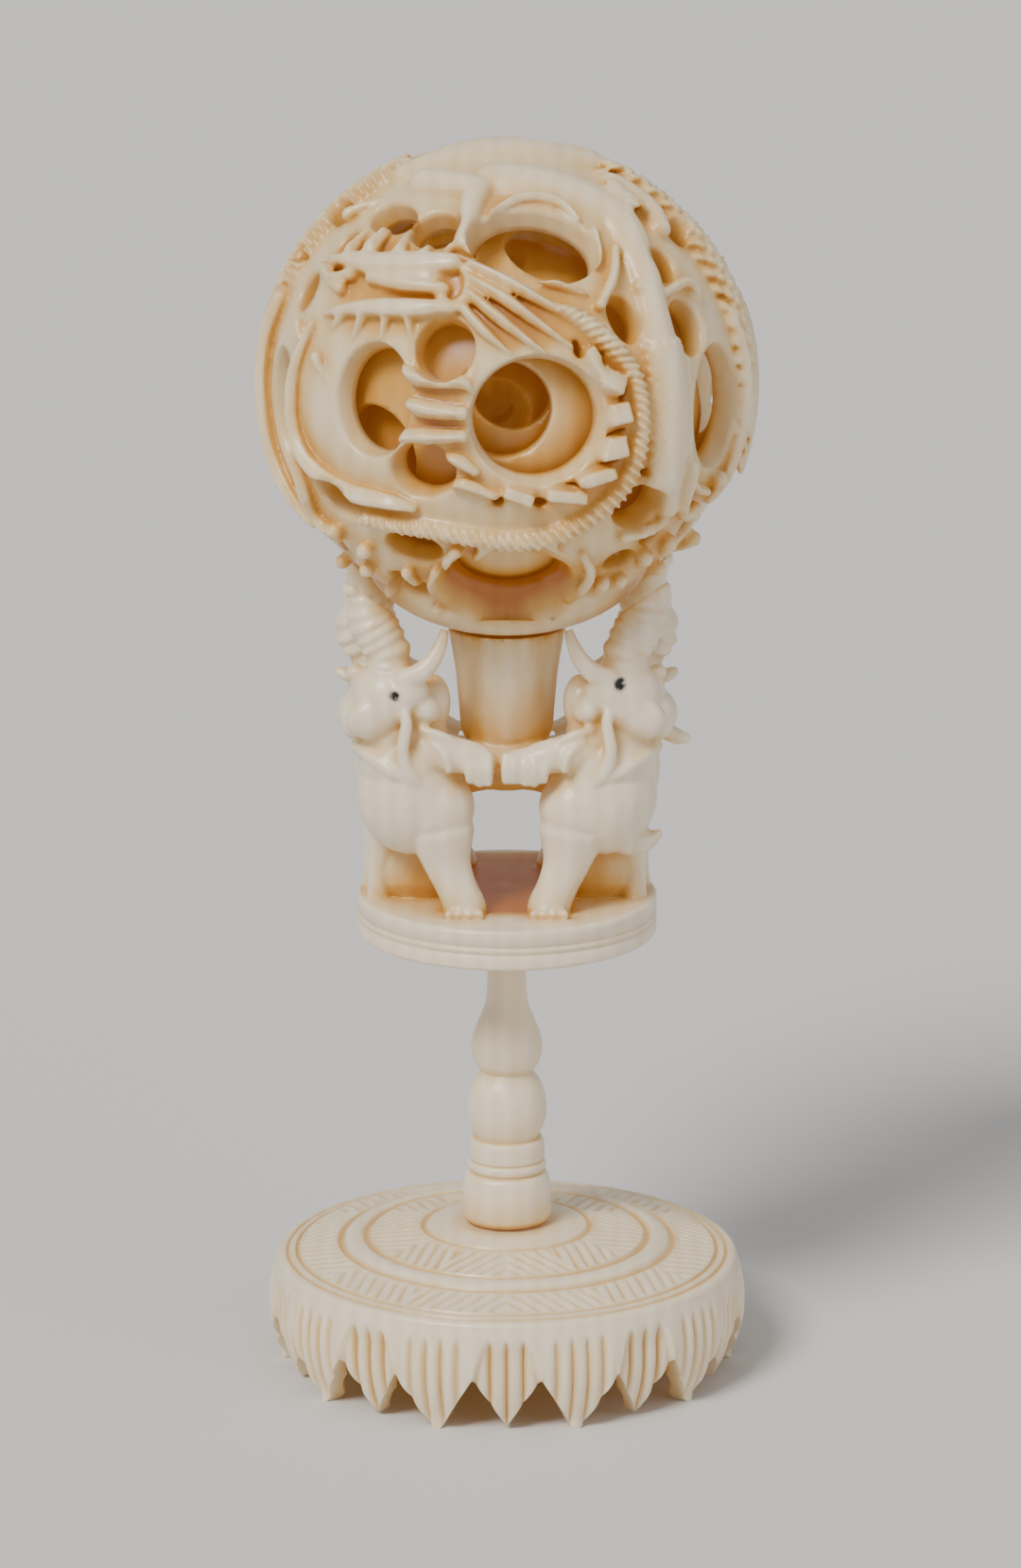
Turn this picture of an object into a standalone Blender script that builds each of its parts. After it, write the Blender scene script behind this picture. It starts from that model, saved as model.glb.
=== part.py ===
# A carved puzzle ball on its stand. A pierced ball holds looser pierced balls, and rests on
# elephants that rear on a round plate, over a turned stem and a lotus foot.
# Units are metres, +Z is up, the front faces -Y, and the origin is on the ground under the middle.
import math

import bmesh
import bpy
from mathutils import Matrix, Vector

MM = 0.001
GAP = 0.3 * MM                    # left open between pieces that touch

# Foot
FOOT_HEIGHT = 12.5 * MM          # to the rim's top
FOOT_DOME = 3.4 * MM              # how far the deck rises from its rim to the stem
FOOT_SEAT = 5.4 * MM              # radius of the flat under the stem
FOOT_RADIUS = 25.3 * MM           # at the top, inside the rounded rim
FOOT_BULGE = 1.0 * MM             # how far the petals swell past the top
FOOT_TIP_INSET = 0.6 * MM         # how far the tips stand inside the top radius
FOOT_WALL = 2.6 * MM              # petals, at their roots
FOOT_TIP_WALL = 1.9 * MM
FOOT_DECK = 4.0 * MM              # disc over the hollow
FOOT_RIM_ROUND = 0.7 * MM
PETALS = 10                       # broad ones, with a narrow one between each pair
BROAD_FLUTES = 3
NARROW_FLUTES = 2
BROAD_SHARE = 0.54                # of the turn between two broad petals' middles
FLUTE_DEPTH = 0.55 * MM
NOTCH_HEIGHT = 6.3 * MM           # top of the gaps between petals
NARROW_SET_BACK = 0.6 * MM        # narrow petals stand behind the broad ones by this
NARROW_TIP_LIFT = 0.4 * MM        # narrow tips clear the ground by this
TIP_FLAT = 0.9 * MM               # width of the flat that a broad tip stands on

# Stem
STEM_HEIGHT = 32.7 * MM
STEM_BASE_RADIUS = 4.85 * MM
STEM_NECK_RADIUS = 2.1 * MM
STEM_SIDES = 16

# Plate
PLATE_RADIUS = 16.3 * MM
PLATE_THICKNESS = 4.5 * MM
PLATE_EDGE_ROUND = 0.5 * MM
PLATE_GROOVE = 0.25 * MM          # depth of the lines turned round its rim
PLATE_SIDES = 40

# Elephants. Their points below are shares of the perch, written for a perch 29 units high.
PERCH_HEIGHT = 29.0 * MM          # from the plate's top to the middle of the seat under the ball
FIGURE = PERCH_HEIGHT / 29.0
FIGURE_SINK = 0.6 * MM            # how far the figures run into the plate
FIGURE_TRIANGLES = 1080
FIGURE_VOXEL = 0.5 * MM
BACK_SINK = 3.2                   # figure units by which the pair behind stands lower

# Ball. Its carving is written in degrees round the ball.
BALL_RADIUS = 27.0 * MM           # over the carving
RELIEF_DEPTH = 1.9 * MM           # from the carving's top down to the ground between it
BALL_WALL = 2.7 * MM              # from the ground to the bore
PAD_RADIUS = 15.5 * MM            # the plain round pad that rests on the perch
PAD_DEPTH = 9.0 * MM
RELIEF_SLACK = 0.45 * MM          # how far strokes rise past the full radius before they are trimmed
RELIEF_TRIANGLES = 3000           # of the carved surface, before it is pierced
BALL_TRIANGLES = 3720
BALL_VOXEL = 0.5 * MM
HOLE_ANGLE = 14.6                 # degrees from a round piercing's axis to its edge
INNER_BALLS = 3
INNER_WALL = 1.6 * MM
INNER_PLAY = 1.5 * MM             # between one ball's bore and the next ball, on the radius
CORE_WALL = 8.2 * MM              # of the last ball
INNER_TRIANGLES = 440
STROKE_STEP = 7.0                 # degrees between the points of a carved stroke

IVORY = (0.83, 0.72, 0.54, 1.0)
DEEP_IVORY = (0.70, 0.46, 0.20, 1.0)

FOOT_TOP = FOOT_HEIGHT + FOOT_DOME
STEM_BOTTOM = FOOT_TOP + GAP
PLATE_BOTTOM = STEM_BOTTOM + STEM_HEIGHT + GAP
PLATE_TOP = PLATE_BOTTOM + PLATE_THICKNESS
BALL_HEIGHT = PLATE_TOP + PERCH_HEIGHT + GAP + BALL_RADIUS
GROUND_RADIUS = BALL_RADIUS - RELIEF_DEPTH
BORE_RADIUS = GROUND_RADIUS - BALL_WALL

# Round piercings of the outer ball's front half, as azimuth and elevation in degrees.
# Azimuth 0 is the front and grows to the right. The back half repeats them, turned half round.
HOLES = [(6.2, 4.8, 15.0), (9.5, 47.0, 14.0), (-34.0, 6.0, 10.8), (-76.0, -1.0, 13.0), (65.0, 0.0, 13.0),
         (0.0, -40.0, 13.0)]
# Smaller piercings between the carving
HOLLOWS = [(-16.0, 20.0, 7.0), (-21.0, -10.0, 6.5), (-48.0, -20.0, 5.5), (-28.0, -32.5, 5.0),
           (35.5, -21.0, 5.8), (54.0, 22.0, 6.0), (33.0, 28.0, 5.0), (55.0, 38.5, 4.5),
           (-28.0, 51.0, 5.5), (-53.0, 53.0, 5.5), (-70.0, 27.5, 5.0), (37.0, -38.5, 4.5)]
# Raised strokes: points of azimuth, elevation and half width, all in degrees
RIDGE = [(24, 24, 2.6), (29, 15, 3.0), (32, 5, 3.2), (31.5, -3, 3.2), (28, -12, 3.2), (20, -20, 3.2),
         (11, -25.5, 3.2), (2, -27.3, 3.2), (-8, -25.3, 3.2), (-20, -22.3, 3.0), (-31, -24.5, 2.6),
         (-41, -28, 2.2)]
FLANK = [(0, 72, 9.0), (35, 66, 9.0), (50, 52, 8.0), (46, 38, 6.5), (42, 22, 6.0), (42, 6, 7.0),
         (41, -8, 6.0), (38, -30, 4.0)]
BACK_ROPE = [(-90, 66, 3.0), (-92, 52, 3.2), (-91, 38, 3.2), (-88, 28, 3.0)]
CRESTS = [[(-48, 16, 1.2), (-50, 6, 1.8), (-47, -6, 2.2), (-38, -14, 2.6), (-28, -17, 1.6)],
          [(-60, 20, 1.2), (-62, 4, 1.6), (-60, -10, 1.8), (-54, -22, 2.0), (-60, -34, 2.2)],
          [(-30, 15, 1.4), (-22, 13, 2.4), (-12, 13, 1.4)],
          [(-24, 7, 1.4), (-18, 6, 2.6), (-10, 7, 1.4)],
          [(-26, 0, 1.4), (-18, 0, 2.6), (-9, 1, 1.4)],
          [(50, -14, 2.2), (56, -22, 2.6), (60, -34, 2.6)],
          [(-92, 26, 2.4), (-95, 6, 3.0), (-93, -14, 2.8), (-84, -26, 2.4)],
          [(77, 24, 2.4), (80, 6, 3.0), (79, -12, 2.6)],
          [(-62, 62, 5.0), (-40, 66, 6.0), (-15, 62, 5.0)],
          [(70, 62, 4.5), (76, 50, 4.0), (72, 36, 3.2)],
          [(-36, -40, 2.6), (-20, -46, 2.2), (-17, -58, 2.4)],
          [(20, -38, 2.2), (28, -47, 2.4), (24, -58, 2.4)]]
TOP = [(-84, 64, 7.0), (-84, 78, 9.0), (-84, 90, 9.0)]
MANE = [[(-13, 42, 2.6), (2, 37, 1.9), (20, 34, 0.9)], [(-12, 38, 2.6), (2, 31, 1.9), (17, 26, 0.9)],
        [(-12, 33, 2.6), (-2, 27, 1.9), (10, 20.5, 0.9)], [(-12, 28, 2.2), (-5, 21, 1.6), (1, 18, 0.8)]]
JAWS = [[(-20, 40, 4.2), (-36, 38, 4.4), (-52, 36, 3.2), (-62, 39, 1.8)],
        [(-20, 31, 3.8), (-36, 27, 2.6), (-50, 23, 1.8), (-56, 19, 0.9)],
        [(-18, 44, 2.6), (-14, 37, 3.4), (-14, 29, 2.4)]]
HORNS = [[(-24, 44, 2.2), (-32, 49, 0.9)], [(-34, 42, 2.4), (-43, 48, 0.9)], [(-46, 39, 2.2), (-55, 44, 0.8)],
         [(-28, 27, 1.6), (-30, 20, 0.7)], [(-38, 25, 1.6), (-40, 17, 0.7)]]
CLAWS = [(-66, -30, 8), (-70, -42, 8), (-50, -45, 8), (-44, -36, 6), (48, -40, 8), (62, -44, 8),
         (72, -30, 8), (78, -18, 6), (80, 30, 6), (84, 38, 6), (66, 50, 5), (-72, 40, 5), (14, -36, 5),
         (-8, -35, 4), (44, -30, 5)]
CLAW_WIDTH = 2.4
# Teeth between the ridge and the front piercing, on an arc round the piercing's middle
SPINES = 12
SPINE_START = 50                  # degrees of turn from the right, counted upward
SPINE_TURN = -190
SPINE_ROOT = 22.5                 # degrees from the piercing's middle
SPINE_TIP = 17.5
SPINE_LEAN = 12
SPINE_WIDTH = 1.9


def collection(name):
    group = bpy.data.collections.new(name)
    bpy.context.scene.collection.children.link(group)
    return group


def ivory(name, colour):
    material = bpy.data.materials.new(name)
    material.use_nodes = True
    shader = material.node_tree.nodes["Principled BSDF"]
    shader.inputs["Base Color"].default_value = colour
    shader.inputs["Roughness"].default_value = 0.38
    shader.inputs["Metallic"].default_value = 0.0
    return material


def new_object(name, bm, group, height=0.0):
    mesh = bpy.data.meshes.new(name)
    bm.to_mesh(mesh)
    bm.free()
    piece = bpy.data.objects.new(name, mesh)
    piece.location.z = height
    group.objects.link(piece)
    return piece


def cutter_object(name, bm):
    cutter = new_object(name, bm, cutters)
    cutter.hide_render = True
    cutter.display_type = "WIRE"
    return cutter


def evaluated(piece):
    # Puts the mesh that the piece's modifiers make in place of its own.
    bpy.context.view_layer.update()
    depsgraph = bpy.context.evaluated_depsgraph_get()
    mesh = bpy.data.meshes.new_from_object(piece.evaluated_get(depsgraph))
    piece.modifiers.clear()
    piece.data = mesh


def cut(piece, bm, operation="DIFFERENCE"):
    cutter = cutter_object(piece.name + "_cutter", bm)
    boolean = piece.modifiers.new("Cut", "BOOLEAN")
    boolean.operation = operation
    boolean.solver = "MANIFOLD"
    boolean.object = cutter
    evaluated(piece)
    bpy.data.objects.remove(cutter)


def thin(piece, triangles):
    count = sum(len(face.vertices) - 2 for face in piece.data.polygons)
    decimate = piece.modifiers.new("Thin", "DECIMATE")
    decimate.ratio = min(1.0, triangles / count)
    evaluated(piece)


def fuse(piece, voxel):
    # Melts overlapping shapes into one body.
    remesh = piece.modifiers.new("Fuse", "REMESH")
    remesh.mode = "VOXEL"
    remesh.voxel_size = voxel
    evaluated(piece)


def keep_largest(piece):
    bm = bmesh.new()
    bm.from_mesh(piece.data)
    waiting = set(bm.verts)
    islands = []
    while waiting:
        reached = {waiting.pop()}
        front = list(reached)
        while front:
            for edge in front.pop().link_edges:
                for vert in edge.verts:
                    if vert in waiting:
                        waiting.remove(vert)
                        reached.add(vert)
                        front.append(vert)
        islands.append(reached)
    islands.sort(key=len)
    crumbs = [vert for island in islands[:-1] for vert in island]
    bmesh.ops.delete(bm, geom=crumbs, context="VERTS")
    bm.to_mesh(piece.data)
    bm.free()


def on_ball(azimuth, elevation, radius):
    turn, rise = math.radians(azimuth), math.radians(elevation)
    flat = math.cos(rise)
    return Vector((math.sin(turn) * flat, -math.cos(turn) * flat, math.sin(rise))) * radius


def add_stroke(bm, points, radii):
    # A round limb through the points, with its own radius at each.
    curve = bpy.data.curves.new("stroke", "CURVE")
    curve.dimensions = "3D"
    curve.bevel_depth = MM
    curve.bevel_resolution = 1
    curve.use_fill_caps = True
    curve.resolution_u = 3
    spline = curve.splines.new("NURBS")
    spline.points.add(len(points) - 1)
    for knot, point, radius in zip(spline.points, points, radii):
        knot.co = (*point, 1.0)
        knot.radius = radius / MM
    spline.use_endpoint_u = True
    spline.order_u = min(3, len(points))
    holder = bpy.data.objects.new("stroke", curve)
    cutters.objects.link(holder)
    bpy.context.view_layer.update()
    depsgraph = bpy.context.evaluated_depsgraph_get()
    mesh = bpy.data.meshes.new_from_object(holder.evaluated_get(depsgraph))
    first = len(bm.verts)
    bm.from_mesh(mesh)
    bm.verts.ensure_lookup_table()
    bmesh.ops.remove_doubles(bm, verts=bm.verts[first:], dist=0.001 * MM)
    bpy.data.objects.remove(holder)


def along(knots):
    # Points of azimuth, elevation and width on a smooth path over the ball through the knots.
    places = [on_ball(azimuth, elevation, 1.0) for azimuth, elevation, _ in knots]
    widths = [knot[2] for knot in knots]
    places = [places[0]] + places + [places[-1]]
    widths = [widths[0]] + widths + [widths[-1]]
    path = []
    for index in range(len(knots) - 1):
        before, start, end, after = places[index:index + 4]
        steps = max(1, round(math.degrees(start.angle(end)) / STROKE_STEP))
        for step in range(steps):
            share = step / steps
            bend = 2 * start + (end - before) * share
            bend += (2 * before - 5 * start + 4 * end - after) * share ** 2
            bend += (3 * start - before - 3 * end + after) * share ** 3
            width = widths[index + 1] + (widths[index + 2] - widths[index + 1]) * share
            path.append((bend.normalized(), width))
    path.append((places[-1], widths[-1]))
    return path


def add_lump(bm, centre, radii, turn=0.0):
    # An egg shape. Its turn, in degrees, is about Y.
    place = Matrix.Translation(centre) @ Matrix.Rotation(math.radians(turn), 4, "Y")
    shape = Matrix.Diagonal((*radii, 1.0))
    bmesh.ops.create_icosphere(bm, subdivisions=3, radius=1.0, matrix=place @ shape)


def half_turn(bm):
    # Repeats everything in the mesh, turned half round the Z axis.
    copy = bmesh.ops.duplicate(bm, geom=bm.verts[:] + bm.edges[:] + bm.faces[:])
    verts = [item for item in copy["geom"] if isinstance(item, bmesh.types.BMVert)]
    bmesh.ops.rotate(bm, verts=verts, cent=(0, 0, 0), matrix=Matrix.Rotation(math.pi, 3, "Z"))


def mirror(bm, axis):
    # Repeats everything in the mesh on the other side of the axis.
    copy = bmesh.ops.duplicate(bm, geom=bm.verts[:] + bm.edges[:] + bm.faces[:])
    verts = [item for item in copy["geom"] if isinstance(item, bmesh.types.BMVert)]
    faces = [item for item in copy["geom"] if isinstance(item, bmesh.types.BMFace)]
    flip = Vector((-1, 1, 1)) if axis == "X" else Vector((1, -1, 1))
    bmesh.ops.scale(bm, verts=verts, vec=flip)
    bmesh.ops.reverse_faces(bm, faces=faces)


def drill(bm, azimuth, elevation, angle, near, far, sides):
    # A cone from the ball's middle, between two radii.
    axis = on_ball(azimuth, elevation, 1.0)
    spread = math.tan(math.radians(angle))
    middle = (near + far) / 2
    place = Matrix.Translation(axis * middle) @ axis.to_track_quat("Z", "Y").to_matrix().to_4x4()
    bmesh.ops.create_cone(bm, cap_ends=True, segments=sides, radius1=near * spread, radius2=far * spread,
                          depth=far - near, matrix=place)


def petal_at(angle):
    # The share of a petal that the angle falls in, 0 to 1 across it, and whether it is broad.
    step = 2 * math.pi / PETALS
    place = (angle / step + BROAD_SHARE / 2) % 1.0
    if place < BROAD_SHARE:
        return place / BROAD_SHARE, True
    return (place - BROAD_SHARE) / (1 - BROAD_SHARE), False


def petal_edge(angle):
    # Height of the petals' lower edge, down to a small flat at each broad tip.
    across, broad = petal_at(angle)
    from_middle = abs(across - 0.5) * 2
    if not broad:
        return NARROW_TIP_LIFT + (NOTCH_HEIGHT - NARROW_TIP_LIFT) * from_middle
    width = 2 * math.pi * FOOT_RADIUS / PETALS * BROAD_SHARE
    flat = TIP_FLAT / width
    return NOTCH_HEIGHT * max(0.0, from_middle - flat) / (1 - flat)


def foot_angles():
    # One angle on each flute's crest, each groove between flutes and each side of a tip's flat.
    step = 2 * math.pi / PETALS
    width = 2 * math.pi * FOOT_RADIUS / PETALS * BROAD_SHARE
    flat = TIP_FLAT / width
    angles = []
    for petal in range(PETALS):
        start = (petal - BROAD_SHARE / 2) * step
        shares = [count / (2 * BROAD_FLUTES) for count in range(2 * BROAD_FLUTES)]
        shares.remove(0.5)
        shares += [0.5 - flat / 2, 0.5 + flat / 2]
        angles += [start + share * BROAD_SHARE * step for share in sorted(shares)]
        start += BROAD_SHARE * step
        shares = [count / (2 * NARROW_FLUTES) for count in range(2 * NARROW_FLUTES)]
        angles += [start + share * (1 - BROAD_SHARE) * step for share in shares]
    return angles


def skirt_depth(angle):
    # How far the petals' outer face lies behind the broad petals' crests
    across, broad = petal_at(angle)
    count = BROAD_FLUTES if broad else NARROW_FLUTES
    groove = FLUTE_DEPTH * (1 - abs(math.sin(math.pi * across * count)))
    return groove if broad else groove + NARROW_SET_BACK


def deck_height(radius):
    # The deck is a shallow dome, flat under the stem.
    rim = FOOT_RADIUS - FOOT_RIM_ROUND
    share = max(0.0, radius - FOOT_SEAT) / (rim - FOOT_SEAT)
    return FOOT_HEIGHT + FOOT_DOME * (1 - share ** 1.25)


def build_foot():
    angles = foot_angles()
    bm = bmesh.new()
    swell = [0.0, 1.0, 0.5]
    rows = len(swell)
    inner = FOOT_RADIUS - FOOT_WALL
    rim = FOOT_RADIUS - FOOT_RIM_ROUND
    deck = [FOOT_SEAT, (FOOT_SEAT + rim) / 2, rim]
    ring = bmesh.ops.create_circle(bm, cap_ends=False, segments=len(angles), radius=1.0)["verts"]
    edges = bm.edges[:]
    rings = [ring]
    for _ in range(len(deck) + rows + 1):
        grown = bmesh.ops.extrude_edge_only(bm, edges=edges)["geom"]
        edges = [item for item in grown if isinstance(item, bmesh.types.BMEdge)]
        verts = [item for item in grown if isinstance(item, bmesh.types.BMVert)]
        rings.append(sorted(verts, key=lambda vert: math.atan2(vert.co.y, vert.co.x) % (2 * math.pi)))
        for vert in verts:
            vert.co.z -= 1.0
    rings[0] = sorted(ring, key=lambda vert: math.atan2(vert.co.y, vert.co.x) % (2 * math.pi))
    for index, angle in enumerate(sorted(a % (2 * math.pi) for a in angles)):
        low = petal_edge(angle)
        outward = Vector((math.cos(angle), math.sin(angle), 0.0))
        top = FOOT_HEIGHT - FOOT_RIM_ROUND
        places = [(radius, deck_height(radius)) for radius in deck]
        for row in range(rows):
            share = row / (rows - 1)
            height = top + (low - top) * share
            down = 1 - height / top
            radius = FOOT_RADIUS + FOOT_BULGE * swell[row] - FOOT_TIP_INSET * down ** 2
            depth = skirt_depth(angle) * min(1.0, share * 2.5)
            places.append((radius - depth, height))
        wall = FOOT_WALL + (FOOT_TIP_WALL - FOOT_WALL) * (1 - low / top)
        places.append((FOOT_RADIUS - FOOT_TIP_INSET * (1 - low / top) ** 2 - wall, low))
        places.append((inner, FOOT_HEIGHT - FOOT_DECK))
        for verts, (radius, height) in zip(rings, places):
            verts[index].co = outward * radius + Vector((0, 0, height))
    bmesh.ops.holes_fill(bm, edges=bm.edges, sides=0)
    bmesh.ops.recalc_face_normals(bm, faces=bm.faces)
    return new_object("lotus_foot", bm, parts)


def stem_profile():
    # Radius and height, from the top down, of the neck, bulb, ball, rings and drum.
    top = STEM_BOTTOM + STEM_HEIGHT
    drum = STEM_BASE_RADIUS
    neck = STEM_NECK_RADIUS
    shares = [(0.0, neck), (0.149, neck), (0.221, neck * 1.06), (0.276, drum * 0.56), (0.342, drum * 0.735),
              (0.397, drum * 0.8), (0.447, drum * 0.72), (0.48, drum * 0.575), (0.519, drum * 0.76),
              (0.569, drum * 0.875), (0.607, drum * 0.9), (0.651, drum * 0.85), (0.708, drum * 0.715),
              (0.722, drum * 0.84), (0.78, drum * 0.86), (0.788, drum * 0.81), (0.796, drum * 0.88),
              (0.816, drum * 0.88), (0.827, drum * 0.82), (0.84, drum * 0.92), (0.884, drum * 0.99),
              (0.96, drum), (0.988, drum * 0.98), (1.0, drum * 0.91)]
    return [(radius, top - share * STEM_HEIGHT) for share, radius in shares]


def turned(name, profile, sides, group):
    # A profile from the top down, spun round Z and closed at both ends.
    bm = bmesh.new()
    chain = [bm.verts.new((0, 0, profile[0][1]))]
    chain += [bm.verts.new((radius, 0, height)) for radius, height in profile]
    chain.append(bm.verts.new((0, 0, profile[-1][1])))
    for upper, lower in zip(chain, chain[1:]):
        bm.edges.new((upper, lower))
    piece = new_object(name, bm, group)
    screw = piece.modifiers.new("Turn", "SCREW")
    screw.steps = sides
    screw.render_steps = sides
    screw.use_merge_vertices = True
    screw.merge_threshold = 0.01 * MM
    evaluated(piece)
    return piece


def plate_profile():
    rim, edge, groove = PLATE_RADIUS, PLATE_EDGE_ROUND, PLATE_GROOVE
    profile = [(rim - edge, PLATE_TOP), (rim, PLATE_TOP - edge)]
    for share in (0.42, 0.6):
        middle = PLATE_TOP - PLATE_THICKNESS * share
        profile += [(rim, middle + groove), (rim - groove, middle), (rim, middle - groove)]
    return profile + [(rim, PLATE_BOTTOM + edge), (rim - edge, PLATE_BOTTOM)]


def figure_point(x, y, z):
    return Vector((x, y, z)) * FIGURE


def limb(bm, *knots):
    # Each knot is x, y, z and radius in figure units.
    points = [figure_point(*knot[:3]) for knot in knots]
    add_stroke(bm, points, [knot[3] * FIGURE for knot in knots])


def lump(bm, place, radii, turn=0.0):
    add_lump(bm, figure_point(*place), [radius * FIGURE for radius in radii], turn)


def elephant(bm):
    # The left front elephant, rearing toward the middle with its trunk up to the ball
    lump(bm, (-10.2, -5.4, 12.6), (6.1, 6.2, 6.9))
    lump(bm, (-10.8, -6.0, 17.8), (5.3, 4.8, 4.6))
    lump(bm, (-12.7, -6.8, 23.4), (4.2, 4.4, 4.4))
    lump(bm, (-9.4, -7.4, 22.8), (2.8, 2.8, 2.4), 28)
    lump(bm, (-7.4, -5.2, 22.4), (2.2, 2.6, 3.4))
    limb(bm, (-12.7, -7.0, 25.6, 2.9), (-12.4, -6.9, 28.0, 2.5), (-13.6, -6.6, 30.4, 2.8),
         (-15.0, -6.4, 33.0, 2.5), (-14.4, -6.0, 36.4, 1.9))
    limb(bm, (-10.9, -9.2, 26.2, 1.4), (-8.8, -9.5, 27.2, 1.2), (-7.2, -9.2, 29.4, 0.95),
         (-6.5, -8.8, 32.4, 0.5))
    limb(bm, (-9.8, -7.6, 18.6, 2.7), (-6.2, -9.0, 17.8, 2.2), (-3.4, -9.3, 17.3, 1.9),
         (-2.2, -9.4, 16.8, 1.7))
    for toe in (-3.4, -1.9):
        lump(bm, (toe, -10.3, 15.9), (0.8, 0.8, 1.0))
    lump(bm, (-13.9, -9.0, 21.8), (3.4, 1.9, 2.7), -8)
    lump(bm, (-16.3, -6.8, 21.3), (1.75, 2.9, 2.6))
    limb(bm, (-11.0, -10.4, 23.6, 0.7), (-11.0, -11.0, 19.2, 0.85), (-9.3, -10.8, 14.8, 0.6))
    lump(bm, (-16.2, -5.6, 25.9), (1.0, 1.0, 0.9))
    lump(bm, (-16.2, -6.6, 35.4), (1.3, 1.4, 1.0))
    limb(bm, (-7.5, -7.4, 11.4, 4.1), (-7.0, -7.8, 8.4, 3.6), (-5.9, -8.5, 4.0, 2.3),
         (-4.6, -8.9, 0.8, 2.3), (-4.5, -8.9, -0.6, 2.4))
    limb(bm, (-12.6, -2.8, 8.0, 2.4), (-13.0, -2.4, 3.0, 1.8), (-13.0, -2.4, -0.6, 1.9))
    lump(bm, (-8.8, -2.0, 4.6), (4.6, 2.6, 5.6))
    limb(bm, (-8.0, -4.0, 14.2, 3.4), (-3.0, -3.8, 14.8, 2.8), (0.5, -3.8, 14.8, 2.8))


def ease(value):
    # 0 to 1 with soft ends
    value = min(1.0, max(0.0, value))
    return value * value * (3 - 2 * value)


def spread_back(bm):
    # The pair behind stands lower and wider, so that the front pair hides it.
    for vert in bm.verts:
        if vert.co.y <= 0:
            continue
        x, z = abs(vert.co.x) / FIGURE, vert.co.z / FIGURE
        x *= 1.03 + 0.13 * ease(1 - abs(z - 28.5) / 4.5)
        if z > 26.5:
            x = max(x, 11.5 + 0.1 * (11.5 - x))
        x += ease((9.5 - x) / 3.0) * ease((10.0 - z) / 3.0)
        z -= BACK_SINK * ease((z - 15.0) / 5.0) * ease((34.0 - z) / 6.0)
        vert.co.x = math.copysign(x * FIGURE, vert.co.x)
        vert.co.z = z * FIGURE


def build_stand():
    bm = bmesh.new()
    elephant(bm)
    mirror(bm, "X")
    mirror(bm, "Y")
    spread_back(bm)
    limb(bm, (0, 0, 16.6, 3.9), (0, 0, 18.0, 4.9), (0, 0, 22.0, 5.3), (0, 0, 29.0, 6.3), (0, 0, 33.0, 7.2))
    limb(bm, (3.0, -9.3, 16.9, 1.6), (0.9, -9.3, 17.0, 1.6))
    limb(bm, (14.4, -5.4, 20.4, 1.3), (17.0, -4.9, 19.3, 1.0), (19.3, -4.7, 18.3, 0.7))
    limb(bm, (12.8, -6.0, 7.8, 2.1), (15.2, -6.2, 7.5, 1.2), (16.4, -6.2, 8.1, 0.6))
    figures = new_object("figures", bm, cutters, PLATE_TOP)
    fuse(figures, FIGURE_VOXEL)
    keep_largest(figures)
    thin(figures, FIGURE_TRIANGLES)
    seat = bmesh.new()
    bmesh.ops.create_icosphere(seat, subdivisions=4, radius=BALL_RADIUS + GAP,
                               matrix=Matrix.Translation((0, 0, BALL_HEIGHT)))
    cut(figures, seat)
    below = bmesh.new()
    slab = PLATE_RADIUS * 3
    sole = PLATE_TOP - FIGURE_SINK
    bmesh.ops.create_cube(below, size=slab, matrix=Matrix.Translation((0, 0, sole - slab / 2)))
    cut(figures, below)
    keep_largest(figures)
    stand = turned("elephant_stand", plate_profile(), PLATE_SIDES, parts)
    joined = bmesh.new()
    joined.from_mesh(figures.data)
    joined.transform(figures.matrix_world)
    bpy.data.objects.remove(figures)
    cut(stand, joined, "UNION")
    return stand


def ball_stroke(bm, knots):
    # Each knot is azimuth, elevation and half width in degrees. A broad stroke's top lies on the
    # ball's full radius, and a narrow one stays lower, on the ground.
    points, radii = [], []
    for place, half_width in along(knots):
        radius = math.radians(half_width) * BALL_RADIUS
        rise = min(RELIEF_DEPTH + RELIEF_SLACK - radius, radius * 0.7)
        points.append(place * (GROUND_RADIUS + rise))
        radii.append(radius)
    add_stroke(bm, points, radii)


def spike(bm, azimuth, elevation, lean_azimuth, lean_elevation, width):
    # A pointed tongue that lies on the ball from one place to another.
    ball_stroke(bm, [(azimuth, elevation, width), (lean_azimuth, lean_elevation, width * 0.35)])


def beside_piercing(turn, distance):
    # Azimuth and elevation at a distance from the front piercing's middle.
    azimuth, elevation, _ = HOLES[0]
    angle = math.radians(turn)
    return azimuth + distance * math.cos(angle), elevation + distance * math.sin(angle)


def carve_ball(bm):
    for knots in (RIDGE, FLANK, BACK_ROPE, TOP, *CRESTS, *MANE, *JAWS, *HORNS):
        ball_stroke(bm, knots)
    for azimuth, elevation, length in CLAWS:
        spike(bm, azimuth, elevation, azimuth + length * 0.6, elevation - length * 0.8, CLAW_WIDTH)
    for count in range(SPINES):
        turn = SPINE_START + SPINE_TURN * count / (SPINES - 1)
        root = beside_piercing(turn, SPINE_ROOT)
        tip = beside_piercing(turn + SPINE_LEAN, SPINE_TIP)
        spike(bm, *root, *tip, SPINE_WIDTH)


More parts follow.
